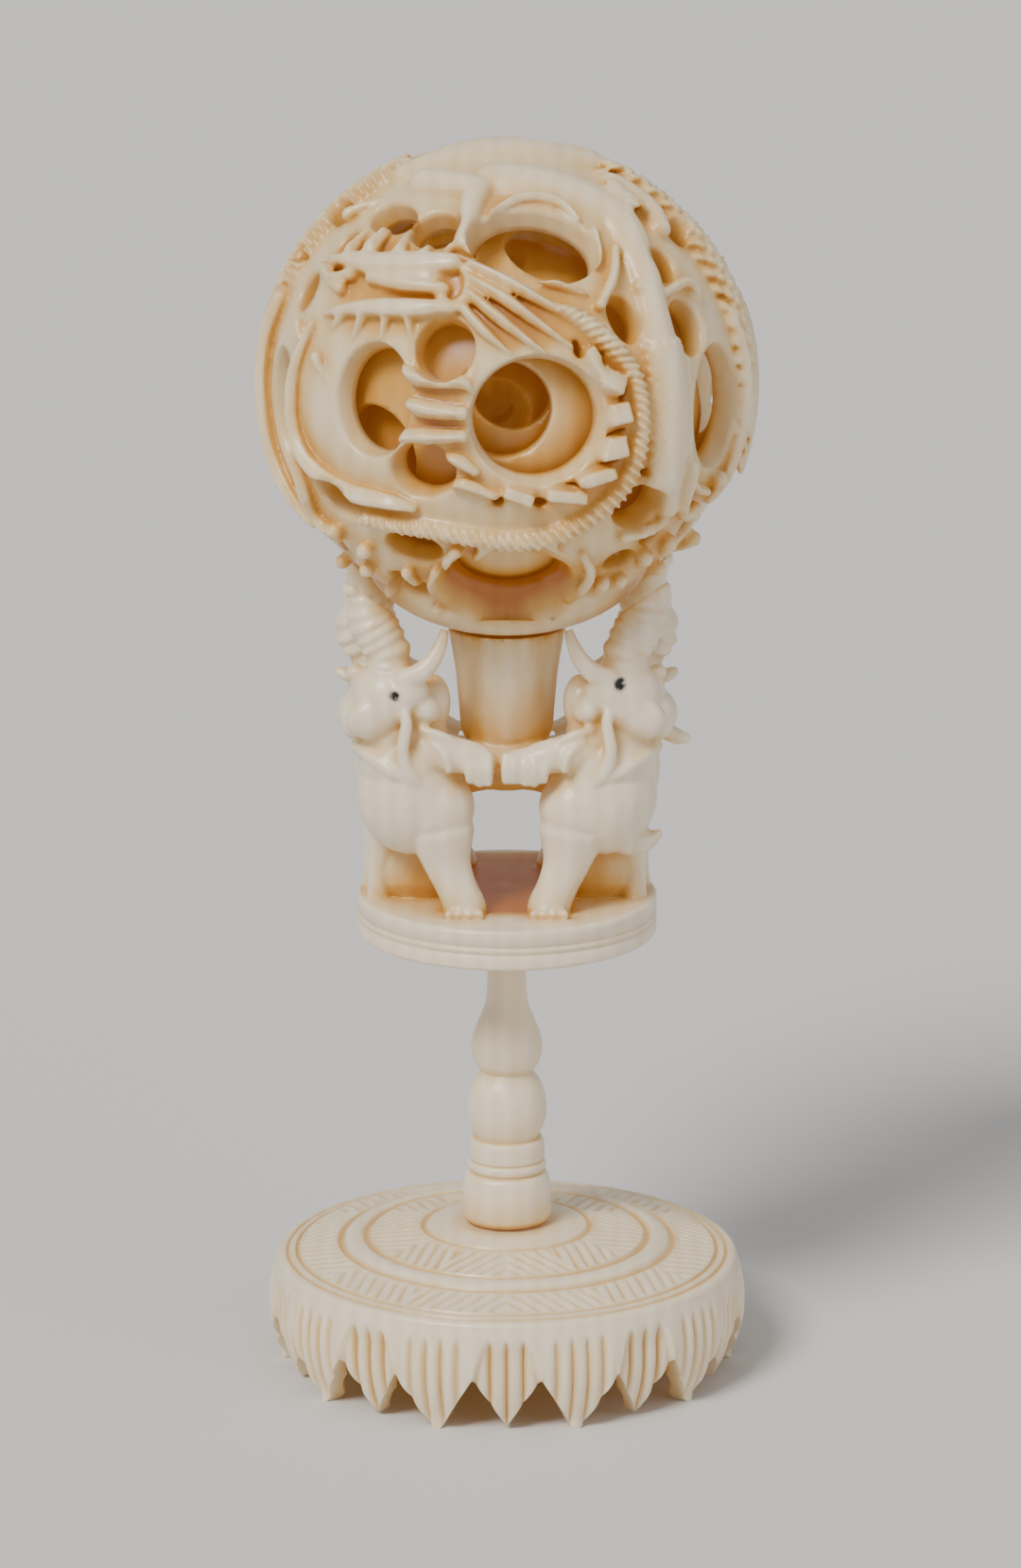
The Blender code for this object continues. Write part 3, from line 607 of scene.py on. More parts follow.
def turnedPiece(name, profile, steps):
    # Radius and height from the top down, spun round Z. A closed piece starts and ends on the axis.
    bm = bmesh.new()
    chain = [bm.verts.new(Vector((radius, 0, height)) * mm) for radius, height in profile]
    edges = [bm.edges.new(pair) for pair in zip(chain, chain[1:])]
    bmesh.ops.spin(bm, geom=chain + edges, axis=(0, 0, 1), cent=(0, 0, 0), dvec=(0, 0, 0),
                   angle=2 * math.pi, steps=steps, use_merge=True, use_duplicate=False)
    bmesh.ops.remove_doubles(bm, verts=bm.verts, dist=0.001 * mm)
    bmesh.ops.recalc_face_normals(bm, faces=bm.faces)
    return newPiece(name, bm)


def smoothProfile(points, corners):
    # Curves through the profile's points, but keeps the named corners sharp
    dense = []
    rows = [Vector((radius, height)) for radius, height in points]
    for index in range(len(rows) - 1):
        start, end = rows[index], rows[index + 1]
        before = start * 2 - end if index in corners or index == 0 else rows[index - 1]
        after = end * 2 - start if index + 1 in corners or index + 2 >= len(rows) else rows[index + 2]
        dense += [tuple(curveAt(before, start, end, after, count / 5)) for count in range(5)]
    dense.append(tuple(rows[-1]))
    return dense


def buildStem():
    values = stemSet
    drum, neck = values["drum"], values["neck"]
    top = values["bottom"] + values["height"]
    # shares of the height from the top down, with the radius there
    shares = [(0.0, neck), (0.11, neck), (0.188, neck * 1.04), (0.243, neck * 1.12)]
    shares += [(share, drum * part) for share, part in (
        (0.298, 0.62), (0.348, 0.745), (0.397, 0.805), (0.447, 0.73), (0.48, 0.575), (0.513, 0.74),
        (0.558, 0.86), (0.607, 0.9), (0.657, 0.86), (0.708, 0.715), (0.713, 0.79), (0.724, 0.835),
        (0.75, 0.855), (0.778, 0.85), (0.788, 0.815), (0.795, 0.865), (0.805, 0.885), (0.817, 0.868),
        (0.827, 0.82), (0.836, 0.9), (0.853, 0.955), (0.885, 0.99), (0.925, 1.0), (0.972, 1.0),
        (0.99, 0.975), (1.0, 0.91))]
    knots = [(radius, top - share * values["height"]) for share, radius in shares]
    profile = smoothProfile(knots, corners=[0, 8, 13, 18, 22])
    return turnedPiece("turnedStem", [(0, top)] + profile + [(0, values["bottom"])], values["steps"])


def plateProfile():
    values = plateSet
    rim, edge, top, bottom = values["radius"], values["edgeRound"], values["top"], values["bottom"]
    profile = [(rim * count / 14, top) for count in range(14)]
    for count in range(7):
        bend = math.pi / 2 * count / 6
        profile.append((rim - edge * (1 - math.sin(bend)), top - edge * (1 - math.cos(bend))))
    for share in values["lines"]:
        middle = top - (top - bottom) * share
        groove = values["groove"]
        profile += [(rim, middle + groove), (rim - groove * 0.7, middle + groove * 0.4),
                    (rim - groove * 0.7, middle - groove * 0.4), (rim, middle - groove)]
    for count in range(7):
        bend = math.pi / 2 * count / 6
        profile.append((rim - edge * (1 - math.cos(bend)), bottom + edge * (1 - math.sin(bend))))
    return profile + [(0, bottom)]


# One rearing elephant, front left, with its height from the plate's top
elephantSet = {
    # eyes: X, height and radius, and how deep they are drilled
    "eyes": [(-11.9, 24.6, 0.5), (12.1, 25.8, 0.62)], "eyeDepth": 0.35, "voxel": 0.26,
    "backSpread": 1.03, "backTrunks": 0.13, "backSink": 3.2,
}


def elephant(bm):
    # belly, back and shoulder
    egg(bm, (-10.2, -5.4, 12.6), (6.1, 6.2, 6.9))
    egg(bm, (-10.7, -6.0, 16.4), (5.4, 5.2, 4.4))
    egg(bm, (-11.2, -6.0, 19.2), (4.9, 4.2, 4.0))
    # head, face and mouth
    egg(bm, (-12.7, -6.8, 23.4), (4.1, 4.3, 4.3))
    egg(bm, (-10.9, -8.6, 24.4), (2.6, 2.5, 2.5), (0, -15, 0))
    egg(bm, (-9.0, -8.0, 22.6), (2.1, 2.4, 1.7), (0, 28, 0))
    egg(bm, (-7.9, -6.0, 22.6), (1.9, 2.4, 3.2))
    # trunk, thrown up with rolls of skin round it and its tip curled at the ball
    limb(bm, (-12.7, -7.0, 25.6, 2.6), (-12.5, -6.9, 28.0, 2.3), (-13.5, -6.6, 30.0, 2.55),
         (-14.6, -6.4, 32.0, 2.5), (-14.9, -6.2, 34.0, 2.0), (-14.4, -6.0, 36.4, 1.8),
         wrinkle=0.085, pitch=1.25)
    egg(bm, (-16.3, -6.6, 35.4), (1.3, 1.4, 1.0))
    egg(bm, (-16.2, -5.6, 25.9), (1.0, 1.0, 0.9))
    # tusk
    limb(bm, (-11.0, -9.4, 26.0, 1.3), (-9.4, -9.8, 26.8, 1.15), (-8.0, -9.6, 28.1, 0.98),
         (-7.0, -9.2, 30.0, 0.72), (-6.6, -8.9, 31.6, 0.45), (-6.5, -8.8, 32.6, 0.2))
    # foreleg, held level so that its toes meet the next elephant's
    limb(bm, (-9.8, -7.6, 18.6, 2.6), (-7.4, -8.7, 17.9, 2.25), (-5.2, -9.2, 17.6, 1.95),
         (-3.4, -9.4, 17.3, 1.75), (-2.3, -9.4, 16.8, 1.5))
    for toe, low in ((-4.0, 15.3), (-3.0, 14.9), (-2.0, 15.0)):
        limb(bm, (toe, -10.2, 17.8, 0.5), (toe, -10.9, 16.6, 0.62), (toe + 0.05, -10.7, low, 0.5))
    limb(bm, (-8.2, -10.2, 19.4, 0.45), (-6.6, -11.0, 18.2, 0.5), (-6.2, -11.0, 16.4, 0.4))
    limb(bm, (-9.2, -9.6, 20.6, 0.5), (-7.2, -10.2, 20.1, 0.55), (-5.0, -10.0, 18.9, 0.4))
    # ear: an upper lobe, a wavy front edge down to its tip, and a fold of the neck below
    egg(bm, (-13.9, -9.2, 21.8), (3.3, 1.7, 2.5), (12, -8, 12))
    egg(bm, (-16.3, -6.8, 21.3), (1.75, 2.8, 2.5))
    limb(bm, (-11.0, -10.4, 23.6, 0.45), (-10.7, -11.1, 21.6, 0.65), (-11.1, -11.3, 19.2, 0.7),
         (-10.9, -11.2, 17.2, 0.7), (-9.9, -11.0, 15.4, 0.75), (-9.0, -10.7, 14.4, 0.5))
    limb(bm, (-15.9, -6.6, 18.0, 0.9), (-14.4, -9.0, 17.4, 0.85), (-12.4, -10.5, 16.3, 0.8),
         (-10.6, -10.8, 15.4, 0.6))
    # hind leg with its knee crease and toenails, and the far one
    limb(bm, (-7.5, -7.4, 11.4, 4.1), (-7.3, -7.6, 9.8, 3.9), (-7.1, -7.7, 9.2, 3.5),
         (-7.0, -7.8, 8.5, 3.65), (-6.4, -8.2, 5.4, 2.6), (-5.4, -8.7, 2.8, 2.2),
         (-4.6, -8.9, 0.8, 2.35), (-4.5, -8.9, -0.6, 2.5))
    for toe in (-6.2, -5.1, -4.0, -2.9):
        egg(bm, (toe, -11.15 - 0.1 * abs(toe + 4.6), 0.3), (0.52, 0.6, 0.75))
    limb(bm, (-12.8, -2.8, 8.6, 2.4), (-13.8, -2.4, 3.4, 1.25), (-13.9, -2.4, -0.6, 1.35))
    egg(bm, (-9.3, -2.0, 4.4), (5.0, 2.4, 5.8))
    # what joins the pair under the forelegs to the core
    limb(bm, (-8.0, -4.0, 14.2, 3.3), (-3.0, -3.6, 14.9, 2.7), (0.6, -3.6, 14.9, 2.7))


# How far painted shade darkens the stand's sheltered places, and how much darker the core's tone is
# made
standShadeAndToneSet = {"plate": 0.8, "web": 0.35, "recess": 0.14, "core": 0.12}


def standShadeAndTone(point):
    # Painted shade: the plate is darkest between the legs, the web under the forelegs and the recesses
    # are dark too; the core is a little darker.
    x, y, z = point / mm
    z -= plateSet["top"]
    plate = fade((8.0 - abs(x)) / 3.5) * fade((y + 11.5) / 4.0) * fade((15.6 - y) / 1.5)
    plate *= fade((0.9 - z) / 0.6) * fade((z + 0.5) / 0.4)
    web = fade((6.5 - abs(x)) / 3.0) * fade((7.6 - abs(y)) / 1.5)
    web *= fade((z - 10.5) / 1.5) * fade((17.0 - z) / 3.0)
    recess = fade((13.5 - abs(x)) / 3.0) * fade((abs(x) - 4.5) / 2.0) * fade((y + 6.0) / 2.0)
    recess *= fade((9.5 - z) / 3.0) * fade((z - 0.2) / 0.6)
    core = fade((7.6 - math.hypot(x, y)) / 0.6) * fade((z - 17.0) / 2.0)
    shares = {"plate": plate, "web": web, "recess": recess, "core": core}
    return sum(standShadeAndToneSet[name] * share for name, share in shares.items())


def spreadBack(bm):
    # The pair behind stands lower and wider, so that the front pair hides it as in the photograph
    for vert in bm.verts:
        if vert.co.y <= 0:
            continue
        x, z = abs(vert.co.x) / mm, vert.co.z / mm
        x *= elephantSet["backSpread"] + elephantSet["backTrunks"] * fade(1 - abs(z - 28.5) / 4.5)
        if z > 26.5:
            x = max(x, 11.5 + 0.1 * (11.5 - x))
        x += fade((9.5 - x) / 3.0) * fade((10.0 - z) / 3.0)
        z -= elephantSet["backSink"] * fade((z - 15.0) / 5.0) * fade((34.0 - z) / 6.0)
        vert.co.x, vert.co.z = math.copysign(x * mm, vert.co.x), z * mm


def refine(piece, longest, rounds, chosen=lambda edge: True):
    # Long faces need points between, for the shading that the points carry
    bm = bmesh.new()
    bm.from_mesh(piece.data)
    for _ in range(rounds):
        long = [edge for edge in bm.edges if edge.calc_length() > longest * mm and chosen(edge)]
        bmesh.ops.subdivide_edges(bm, edges=long, cuts=1)
        bmesh.ops.triangulate(bm, faces=[face for face in bm.faces if len(face.verts) > 4])
    bm.to_mesh(piece.data)
    bm.free()


def onPlate(edge):
    return all(abs(vert.co.z - plateSet["top"] * mm) < 0.02 * mm for vert in edge.verts)


def buildStand():
    values = plateSet
    bm = bmesh.new()
    elephant(bm)
    mirrored(bm, "X")
    mirrored(bm, "Y")
    spreadBack(bm)
    limb(bm, (0, 0, 16.6, 3.9), (0, 0, 18.0, 4.9), (0, 0, 21.0, 5.2), (0, 0, 25.0, 5.6),
         (0, 0, 29.0, 6.3), (0, 0, 33.0, 7.2), sides=32)
    # the right foreleg reaches past the middle, and its toes lie against the left one's
    limb(bm, (3.2, -9.4, 17.0, 1.6), (1.8, -9.5, 17.0, 1.5), (0.9, -9.5, 16.9, 1.4))
    for toe in (-0.1, 0.9):
        limb(bm, (toe, -10.3, 17.8, 0.5), (toe, -10.9, 16.6, 0.6), (toe, -10.7, 15.2, 0.5))
    # a short stub behind the right one's ear, and its tail
    limb(bm, (14.4, -5.4, 20.4, 1.3), (16.6, -5.0, 19.4, 1.0), (18.4, -4.8, 18.5, 0.9),
         (19.3, -4.7, 18.3, 0.6))
    limb(bm, (12.8, -6.0, 7.8, 2.1), (14.4, -6.2, 7.3, 1.6), (15.6, -6.2, 7.6, 1.0),
         (16.4, -6.2, 8.1, 0.5))
    bmesh.ops.translate(bm, verts=bm.verts, vec=(0, 0, values["top"] * mm))
    figures = newPiece("figures", bm)
    fuse(figures, elephantSet["voxel"])
    keepLargest(figures)
    soften(figures, 2)
    seat = bmesh.new()
    bmesh.ops.create_icosphere(seat, subdivisions=6, radius=(ballSet["radius"] + gap) * mm,
                               matrix=Matrix.Translation((0, 0, ballSet["height"] * mm)))
    carveAway(figures, seat)
    below = bmesh.new()
    sole = values["top"] - values["sink"]
    bmesh.ops.create_cube(below, size=60 * mm, matrix=Matrix.Translation((0, 0, (sole - 30) * mm)))
    carveAway(figures, below)
    keepLargest(figures)
    stand = turnedPiece("elephantStand", plateProfile(), values["steps"])
    joined = bmesh.new()
    joined.from_mesh(figures.data)
    bpy.data.objects.remove(figures)
    carveAway(stand, joined, "UNION")
    thinTo(stand, values["triangles"])
    refine(stand, values["longest"], 4, onPlate)
    stainAndShadeBy(stand, standShadeAndTone)
    return stand


# The ball's carving, in degrees round the ball: azimuth 0 is the front and grows to the right.
# The back half repeats the front, turned half round.
# An opening is its mouth's middle, half width and half height, turn, the middle of its throat and
# the throat's share of the mouth.
openings = [
    ((7.8, 3.4), 17.5, 16.8, 0, (6.6, 3.7), 0.90),
    ((10.0, 48.0), 16.5, 11.5, -12, (9.5, 46.5), 0.92),
    ((-35.0, 6.5), 12.0, 15.0, 0, (-33.5, 6.0), 0.86),
    ((-73.5, -3.0), 12.0, 17.0, 4, (-75.0, -2.0), 0.80),
    ((64.0, 0.0), 13.5, 16.5, 0, (66.5, 0.0), 0.88),
    ((0.0, -46.5), 19.5, 15.5, 0, (0.0, -36.0), 0.50),
    ((-16.0, 20.5), 8.0, 8.4, 0, (-16.0, 20.0), 0.86),
    ((-21.5, -9.5), 9.4, 8.0, 10, (-19.0, -9.5), 0.76),
    ((-49.0, -20.0), 10.0, 6.0, -8, (-47.0, -20.0), 0.80),
    ((-28.0, -32.5), 8.5, 5.5, 0, (-28.0, -33.0), 0.85),
    ((-38.0, -48.5), 6.5, 6.0, 0, (-38.0, -48.5), 0.85),
    ((35.5, -21.0), 7.2, 6.4, 0, (35.5, -21.0), 0.90),
    ((44.5, -31.5), 3.2, 3.0, 0, (44.5, -31.5), 0.90),
    ((37.0, -38.5), 4.8, 4.2, 0, (37.0, -38.5), 0.85),
    ((54.5, 38.0), 5.6, 5.6, 0, (54.5, 37.5), 0.80),
    ((33.0, 26.5), 4.6, 7.0, 12, (33.0, 26.0), 0.80),
    ((54.0, 21.5), 7.2, 7.8, 0, (54.0, 21.0), 0.85),
    ((-53.0, 53.0), 9.5, 5.6, 0, (-51.0, 52.0), 0.78),
    ((-28.0, 51.5), 7.2, 6.4, 0, (-28.0, 50.5), 0.80),
    ((-63.5, 42.0), 4.2, 4.4, 0, (-63.5, 42.0), 0.80),
    ((-71.0, 27.5), 5.0, 5.6, 0, (-71.0, 27.5), 0.85),
    ((75.0, 43.0), 3.6, 3.8, 0, (75.0, 43.0), 0.90),
    ((35.6, -11.4), 1.3, 1.3, 0, (35.6, -11.4), 0.90),
    ((64.0, -32.0), 4.0, 5.0, 20, (64.0, -32.0), 0.85),
    ((-63.0, -37.0), 3.0, 3.6, 0, (-63.0, -37.0), 0.85),
    ((93.0, 47.0), 5.0, 3.6, 0, (93.0, 47.0), 0.80),
    ((91.0, 33.0), 2.8, 2.4, 0, (91.0, 33.0), 0.80),
    ((92.0, -22.0), 3.0, 3.0, 0, (92.0, -22.0), 0.80),
    ((86.0, -31.0), 3.2, 3.0, 0, (86.0, -31.0), 0.80),
]
# The slots between the blades beside the front opening, in the same terms
slots = [
    ((18.3, 20.4), 2.6, 1.3, 102, (18.0, 20.0), 0.80),
    ((24.0, 17.4), 2.0, 1.0, 80, (24.0, 17.2), 0.80),
    ((29.0, 9.0), 2.2, 1.0, 75, (28.6, 9.0), 0.80),
    ((27.0, -0.4), 3.0, 0.55, 12, (26.8, -0.4), 0.80),
    ((25.6, -7.6), 2.9, 0.55, 5, (25.4, -7.6), 0.80),
    ((17.7, -12.6), 3.2, 0.6, -5, (17.5, -12.6), 0.80),
    ((8.2, -17.2), 2.1, 1.6, -15, (8.2, -17.2), 0.85),
    ((-2.2, -16.6), 1.6, 1.6, 0, (-2.2, -16.6), 0.85),
]
# The blades: azimuth, elevation, half length, half width and the turn of their length
bladeSet = {"rise": 25.75, "thick": 1.0, "tilt": 15}
blades = [
    (21.6, 16.6, 3.4, 1.5, -62), (25.6, 11.6, 2.9, 2.3, -28), (26.3, 4.0, 3.2, 2.4, 6),
    (25.4, -3.8, 3.2, 2.5, 6), (21.6, -10.7, 4.4, 1.5, 14), (14.4, -14.9, 4.6, 1.3, -9),
    (2.8, -14.4, 3.4, 1.3, -22),
]
ropeSet = {
    "pitch": 1.95, "width": 0.66, "slant": 34, "reach": 1.06, "tall": 1.4, "crest": 27.05, "core": 26.3,
}
ropes = [
    [(13, 30.5, 1.2), (20, 27, 2.8), (26.3, 20.8, 3.2), (31.4, 14, 2.7), (33.2, 7, 2.4), (33.2, 0, 2.4),
     (32.3, -6.5, 2.5), (29.8, -13, 2.7), (24.6, -19, 2.8), (17.3, -24, 2.9), (9, -26.8, 2.9),
     (0, -27.4, 2.8), (-10, -26.1, 2.6), (-20, -24.8, 2.5), (-31, -24.0, 2.4), (-41, -23.2, 2.0)],
    [(-89, 66, 2.6), (-91, 52, 3.0), (-90, 38, 3.0), (-88, 27, 2.4)],
]
smoothBands = [
    [(-8, 72, 8.0), (30, 67, 8.5), (50, 54, 6.5), (46, 40, 5.0), (43, 27, 4.4), (42.4, 14, 6.2),
     (42.2, 0, 6.6), (42.6, -11, 5.2), (46, -22, 3.0)],
    [(-84, 66, 6.0), (-84, 78, 9.0), (-84, 90, 9.0)],
    [(-17, 66, 3.5), (-16, 56, 2.6), (-15, 47, 2.2)],
    [(86, 60, 6.0), (84, 50, 4.0), (84, 36, 5.0), (84, 22, 5.0), (83, 8, 4.0), (80, -8, 3.0)],
    [(-58, 66, 5.0), (-38, 67, 5.0), (-17, 66, 4.0)],
    [(70, 62, 4.5), (72, 52, 4.0), (66, 46, 2.6)],
    [(-36, 37, 5.0), (-24, 38, 5.0)],
]
# Sharp crested strokes: folds, tongues and the lattice's edges
crests = [
    [(-59, 21, 1.0), (-61.5, 8, 1.6), (-60, -5, 1.8), (-53, -13, 2.4), (-42, -17, 2.6),
     (-30, -17.5, 2.2), (-24, -19, 1.2)],
    [(-63, -12, 1.2), (-62, -20, 1.8), (-63, -28, 1.6), (-56, -33, 1.4)],
    [(-28, 15.5, 1.0), (-21, 13.2, 2.2), (-11, 12.8, 1.8), (-8.5, 11, 0.8)],
    [(-27, 8.5, 1.0), (-20, 6.3, 2.3), (-10.5, 5.6, 1.8)],
    [(-29, -1.5, 1.0), (-21, -0.3, 2.1), (-10.5, 0.2, 1.6)],
    [(-16, -5, 0.6), (-11.5, -5.5, 1.8), (-7.5, -8.5, 1.2)],
    [(-15, -12.5, 0.7), (-10, -11.5, 1.6), (-3, -14.5, 1.2)],
    [(50, -12, 2.0), (50.5, -22, 1.8), (56, -27, 1.2)],
    [(49, 14, 1.2), (48, 4, 1.3), (48.5, -8, 1.3), (53, -17, 1.5), (62, -21, 1.2)],
    [(78, 20, 1.4), (79, 6, 1.6), (78, -8, 1.5), (72, -19, 1.5), (66, -24, 1.2)],
    [(-87, 22, 1.8), (-90, 6, 2.2), (-88, -12, 2.2), (-80, -25, 1.8), (-70, -32, 1.2)],
    [(26, 30, 1.4), (33, 37, 1.4), (38, 44, 1.2)],
    [(40, 33, 1.4), (47, 30.5, 1.2), (60, 31.5, 1.4), (64, 27, 0.8)],
    [(19, 39, 1.0), (29, 41, 1.2), (34, 50, 1.0)],
    [(-6, 57, 1.0), (8, 62, 1.3), (24, 60, 1.3), (30, 54, 0.8)],
    [(22, -33, 1.0), (27, -41, 1.5), (24, -52, 1.4)],
    [(-22, -39, 1.4), (-25, -46, 1.8), (-21, -56, 1.4)],
    [(-14, -31, 1.6), (-18, -36, 1.2), (-14, -40, 0.6)],
    [(33, -28.5, 1.4), (40, -27.5, 1.6), (47, -26, 1.0)],
    [(-68, 35, 1.0), (-58, 33, 1.6), (-50, 35, 1.6)],
]
maneLocks = [
    [(-12, 45, 1.3), (0, 41.5, 1.7), (10, 37.5, 1.4), (23, 33, 0.5)],
    [(-11, 41, 1.3), (0, 36.5, 1.7), (10, 31.5, 1.3), (21, 25.5, 0.5)],
    [(-11, 37.5, 1.3), (0, 32, 1.7), (9, 26.0, 1.2), (17, 20.5, 0.5)],
    [(-11, 34, 1.3), (-3, 28.5, 1.6), (5, 22.8, 1.1), (10, 19.5, 0.5)],
    [(-12, 30.5, 1.3), (-6, 25, 1.4), (1, 19.5, 0.5)],
]
headStrokes = [
    [(-17, 41, 2.4), (-28, 40, 3.6), (-42, 38.5, 3.2), (-54, 38, 2.0), (-64, 37, 0.9)],
    [(-18, 34.5, 1.6), (-30, 34.5, 2.0), (-42, 35, 1.6)],
    [(-15, 30, 1.6), (-26, 29, 2.3), (-38, 28, 2.1), (-49, 26, 1.4), (-56, 24, 0.6)],
    [(-19, 46, 1.0), (-21.5, 40, 1.0), (-20, 34, 1.1), (-15, 30, 1.4)],
    [(-16, 42, 0.9), (-11.5, 38, 1.2), (-11.5, 33, 1.2), (-15, 31, 0.9)],
]
spikes = [
    ((-47, 42), (-46, 53), 2.2), ((-55, 40), (-58, 48), 1.9), ((-36, 43), (-38, 49.5), 1.7),
    ((-27, 43), (-26, 48), 1.5), ((-60, 37), (-67, 38.5), 1.7), ((-52, 31), (-60, 31), 1.5),
    ((-27, 28), (-25, 21.5), 1.5), ((-33, 27.5), (-34, 20.5), 1.5), ((-40, 27), (-43, 19), 1.6),
    ((-47, 26), (-52, 20), 1.4), ((-53, 14), (-50, 9), 1.5), ((-66, 20), (-62, 14), 1.2),
    ((12, -29), (17, -34), 1.3), ((-6, -29.5), (-13, -38.5), 1.5),
    ((44, -36), (49, -43), 2.0), ((52, -33), (58, -41), 2.0), ((56, -24), (65, -31), 2.0),
    ((66, -18), (74, -27), 1.9), ((40, -44), (48, -52), 1.8), ((60, -44), (70, -50), 1.8),
    ((33, -44), (38, -55), 1.8), ((-44, -34), (-52, -38), 2.0), ((-50, -42), (-60, -45), 1.9),
    ((-47, -50), (-58, -55), 1.8), ((-54, -30), (-66, -31), 1.8), ((-32, -40), (-31, -52), 1.6),
    ((-70, -44), (-80, -48), 1.8), ((78, -38), (86, -46), 1.8), ((-30, -56), (-38, -62), 1.8),
    ((20, -58), (30, -63), 1.8), ((-76, 48), (-72, 56), 1.6),
]
# How high and how sharp each family of strokes is cut
strokeSet = {
    "ropes": {"tall": 1.3, "top": ropeSet["core"]},
    "bands": {"top": ballSet["radius"] - 0.35},
    "crests": {"tall": 1.25, "sides": 4},
    "locks": {"tall": 1.6, "sides": 4},
    "head": {"tall": 1.2, "sides": 6},
    "spikes": {"tall": 1.3, "sides": 4},
}
# Patches of scales: azimuth, elevation, half width, half height, pitch and tilt
scaleSet = {"rise": 26.66, "drop": 1.15, "thick": 0.4, "patches": [
    (42.6, 1.5, 5.6, 17.5, 2.15, 17), (84, 12, 6.5, 30, 3.6, 30), (83, 55, 6, 12, 3.8, 32),
    (58, 57, 9, 4, 2.6, 20)]}
# The plain round pad that the ball stands on, let into the stand's seat
padSet = {"height": 18.0, "wide": 15.5, "thick": 9.0}


def toward(azimuth, elevation):
    turn, lift = math.radians(azimuth), math.radians(elevation)
    return Vector((math.sin(turn) * math.cos(lift), -math.cos(turn) * math.cos(lift), math.sin(lift)))


def sideways(outward):
    # East and north of a place on the ball
    east = Vector((0, 0, 1)).cross(outward).normalized()
    return east, outward.cross(east)


def arcMm(degrees):
    return math.radians(degrees) * ballSet["radius"]


def ballPath(knots, step=1.2):
    # Directions and widths along a smooth path over the ball, a point about every step degrees
    rows = [(*toward(azimuth, elevation) * 100, width) for azimuth, elevation, width in knots]
    path = smoothPath(rows, 100 * math.radians(step))
    return [(Vector(row[:3]).normalized(), row[3]) for row in path]


def ballStroke(bm, knots, tall=1.0, sides=14, top=None):
    # A limb that lies on the ball. With 4 sides it has a sharp crest. Top is its crest's radius.
    ground = ballSet["radius"] - ballSet["relief"]
    top = top or ballSet["radius"] + ballSet["slack"]
    stations = []
    for outward, width in ballPath(knots):
        radius = arcMm(max(0.25, width))
        height = radius * tall
        rise = min(top - ground - height, height * 0.75)
        stations.append((outward * (ground + rise), outward, radius, height))
    sweep(bm, stations, sides)
    for point, outward, radius, height in (stations[0], stations[-1]):
        egg(bm, point, [min(radius, height)] * 3, detail=2)


def ribs(bm, knots):
    # Slanted ribs side by side along a ridge, like the lay of a rope
    path = ballPath(knots, 0.3)
    travelled = 0.0
    for (before, _), (here, width) in zip(path, path[1:]):
        travelled += math.degrees(before.angle(here))
        if travelled < ropeSet["pitch"]:
            continue
        travelled = 0.0
        along = (here - before).normalized()
        across = here.cross(along)
        lean = along.dot(Vector((0.72, 0.0, -0.69)))
        tilt = math.radians(ropeSet["slant"]) * max(-1.0, min(1.0, lean * 1.4))
        axis = (across * math.cos(tilt) + along * math.sin(tilt)).normalized()
        reach, half, tall = arcMm(width) * ropeSet["reach"], arcMm(ropeSet["width"]), ropeSet["tall"]
        centre = here * (ropeSet["crest"] - tall)
        side = axis.cross(here)
        matrix = placed(axis * reach, side * half, here * tall, centre)
        bmesh.ops.create_icosphere(bm, subdivisions=2, radius=1.0, matrix=Matrix.Scale(mm, 4) @ matrix)


def scales(bm):
    # Overlapping scales in rows over the dragon's flanks
    for azimuth, elevation, halfWide, halfHigh, pitch, lean in scaleSet["patches"]:
        rows = round(halfHigh * 2 / (pitch * 0.62))
        for row in range(rows + 1):
            lift = elevation - halfHigh + row * pitch * 0.62
            spread = pitch / math.cos(math.radians(lift))
            start = azimuth - halfWide + (row % 2) * spread / 2
            for column in range(int(halfWide * 2 / spread) + 1):
                here = toward(start + column * spread, lift)
                aside = (start + column * spread - azimuth) / halfWide
                east, north = sideways(here)
                tilt = math.radians(lean)
                long = north * math.cos(tilt) - here * math.sin(tilt)
                out = here * math.cos(tilt) + north * math.sin(tilt)
                wide, high, tall = arcMm(pitch * 0.43), arcMm(pitch * 0.56), scaleSet["thick"]
                centre = here * (scaleSet["rise"] - scaleSet["drop"] * aside * aside)
                matrix = placed(east * wide, long * high, out * tall, centre)
                bmesh.ops.create_icosphere(bm, subdivisions=2, radius=1.0,
                                           matrix=Matrix.Scale(mm, 4) @ matrix)


def ballToneAndShade(point):
    # The ball is a little warmer than its stand, its own tone, and painted shade makes it darkest on
    # the lower opening's long wall, where shade falls
    outward = point - Vector((0, 0, ballSet["height"] * mm))
    deep = fade((27.2 - outward.length / mm) / 3.4)
    away = min(math.degrees(outward.angle(toward(side, -48))) for side in (0, 180))
    return ballSet["stain_and_painted_shade"] + fade((21.0 - away) / 6.0) * (0.12 + 0.42 * deep)


def drill(bm, mouth, wide, high, turn, throat, share, near, far, sides=48):
    # An elliptic funnel from the throat at one radius to the mouth at another
    start, end = toward(*throat) * near, toward(*mouth) * far
    axis = (end - start).normalized()
    east, north = sideways(axis)
    angle = math.radians(turn)
    across = east * math.cos(angle) + north * math.sin(angle)
    upward = north * math.cos(angle) - east * math.sin(angle)
    half = [math.tan(math.radians(value)) * far for value in (wide, high)]
    length = (end - start).length
    middle = (start + end) / 2
    matrix = placed(across * half[0], upward * half[1], axis * length, middle)
    bmesh.ops.create_cone(bm, cap_ends=True, segments=sides, radius1=share * near / far, radius2=1.0,
                          depth=1.0, matrix=Matrix.Scale(mm, 4) @ matrix)


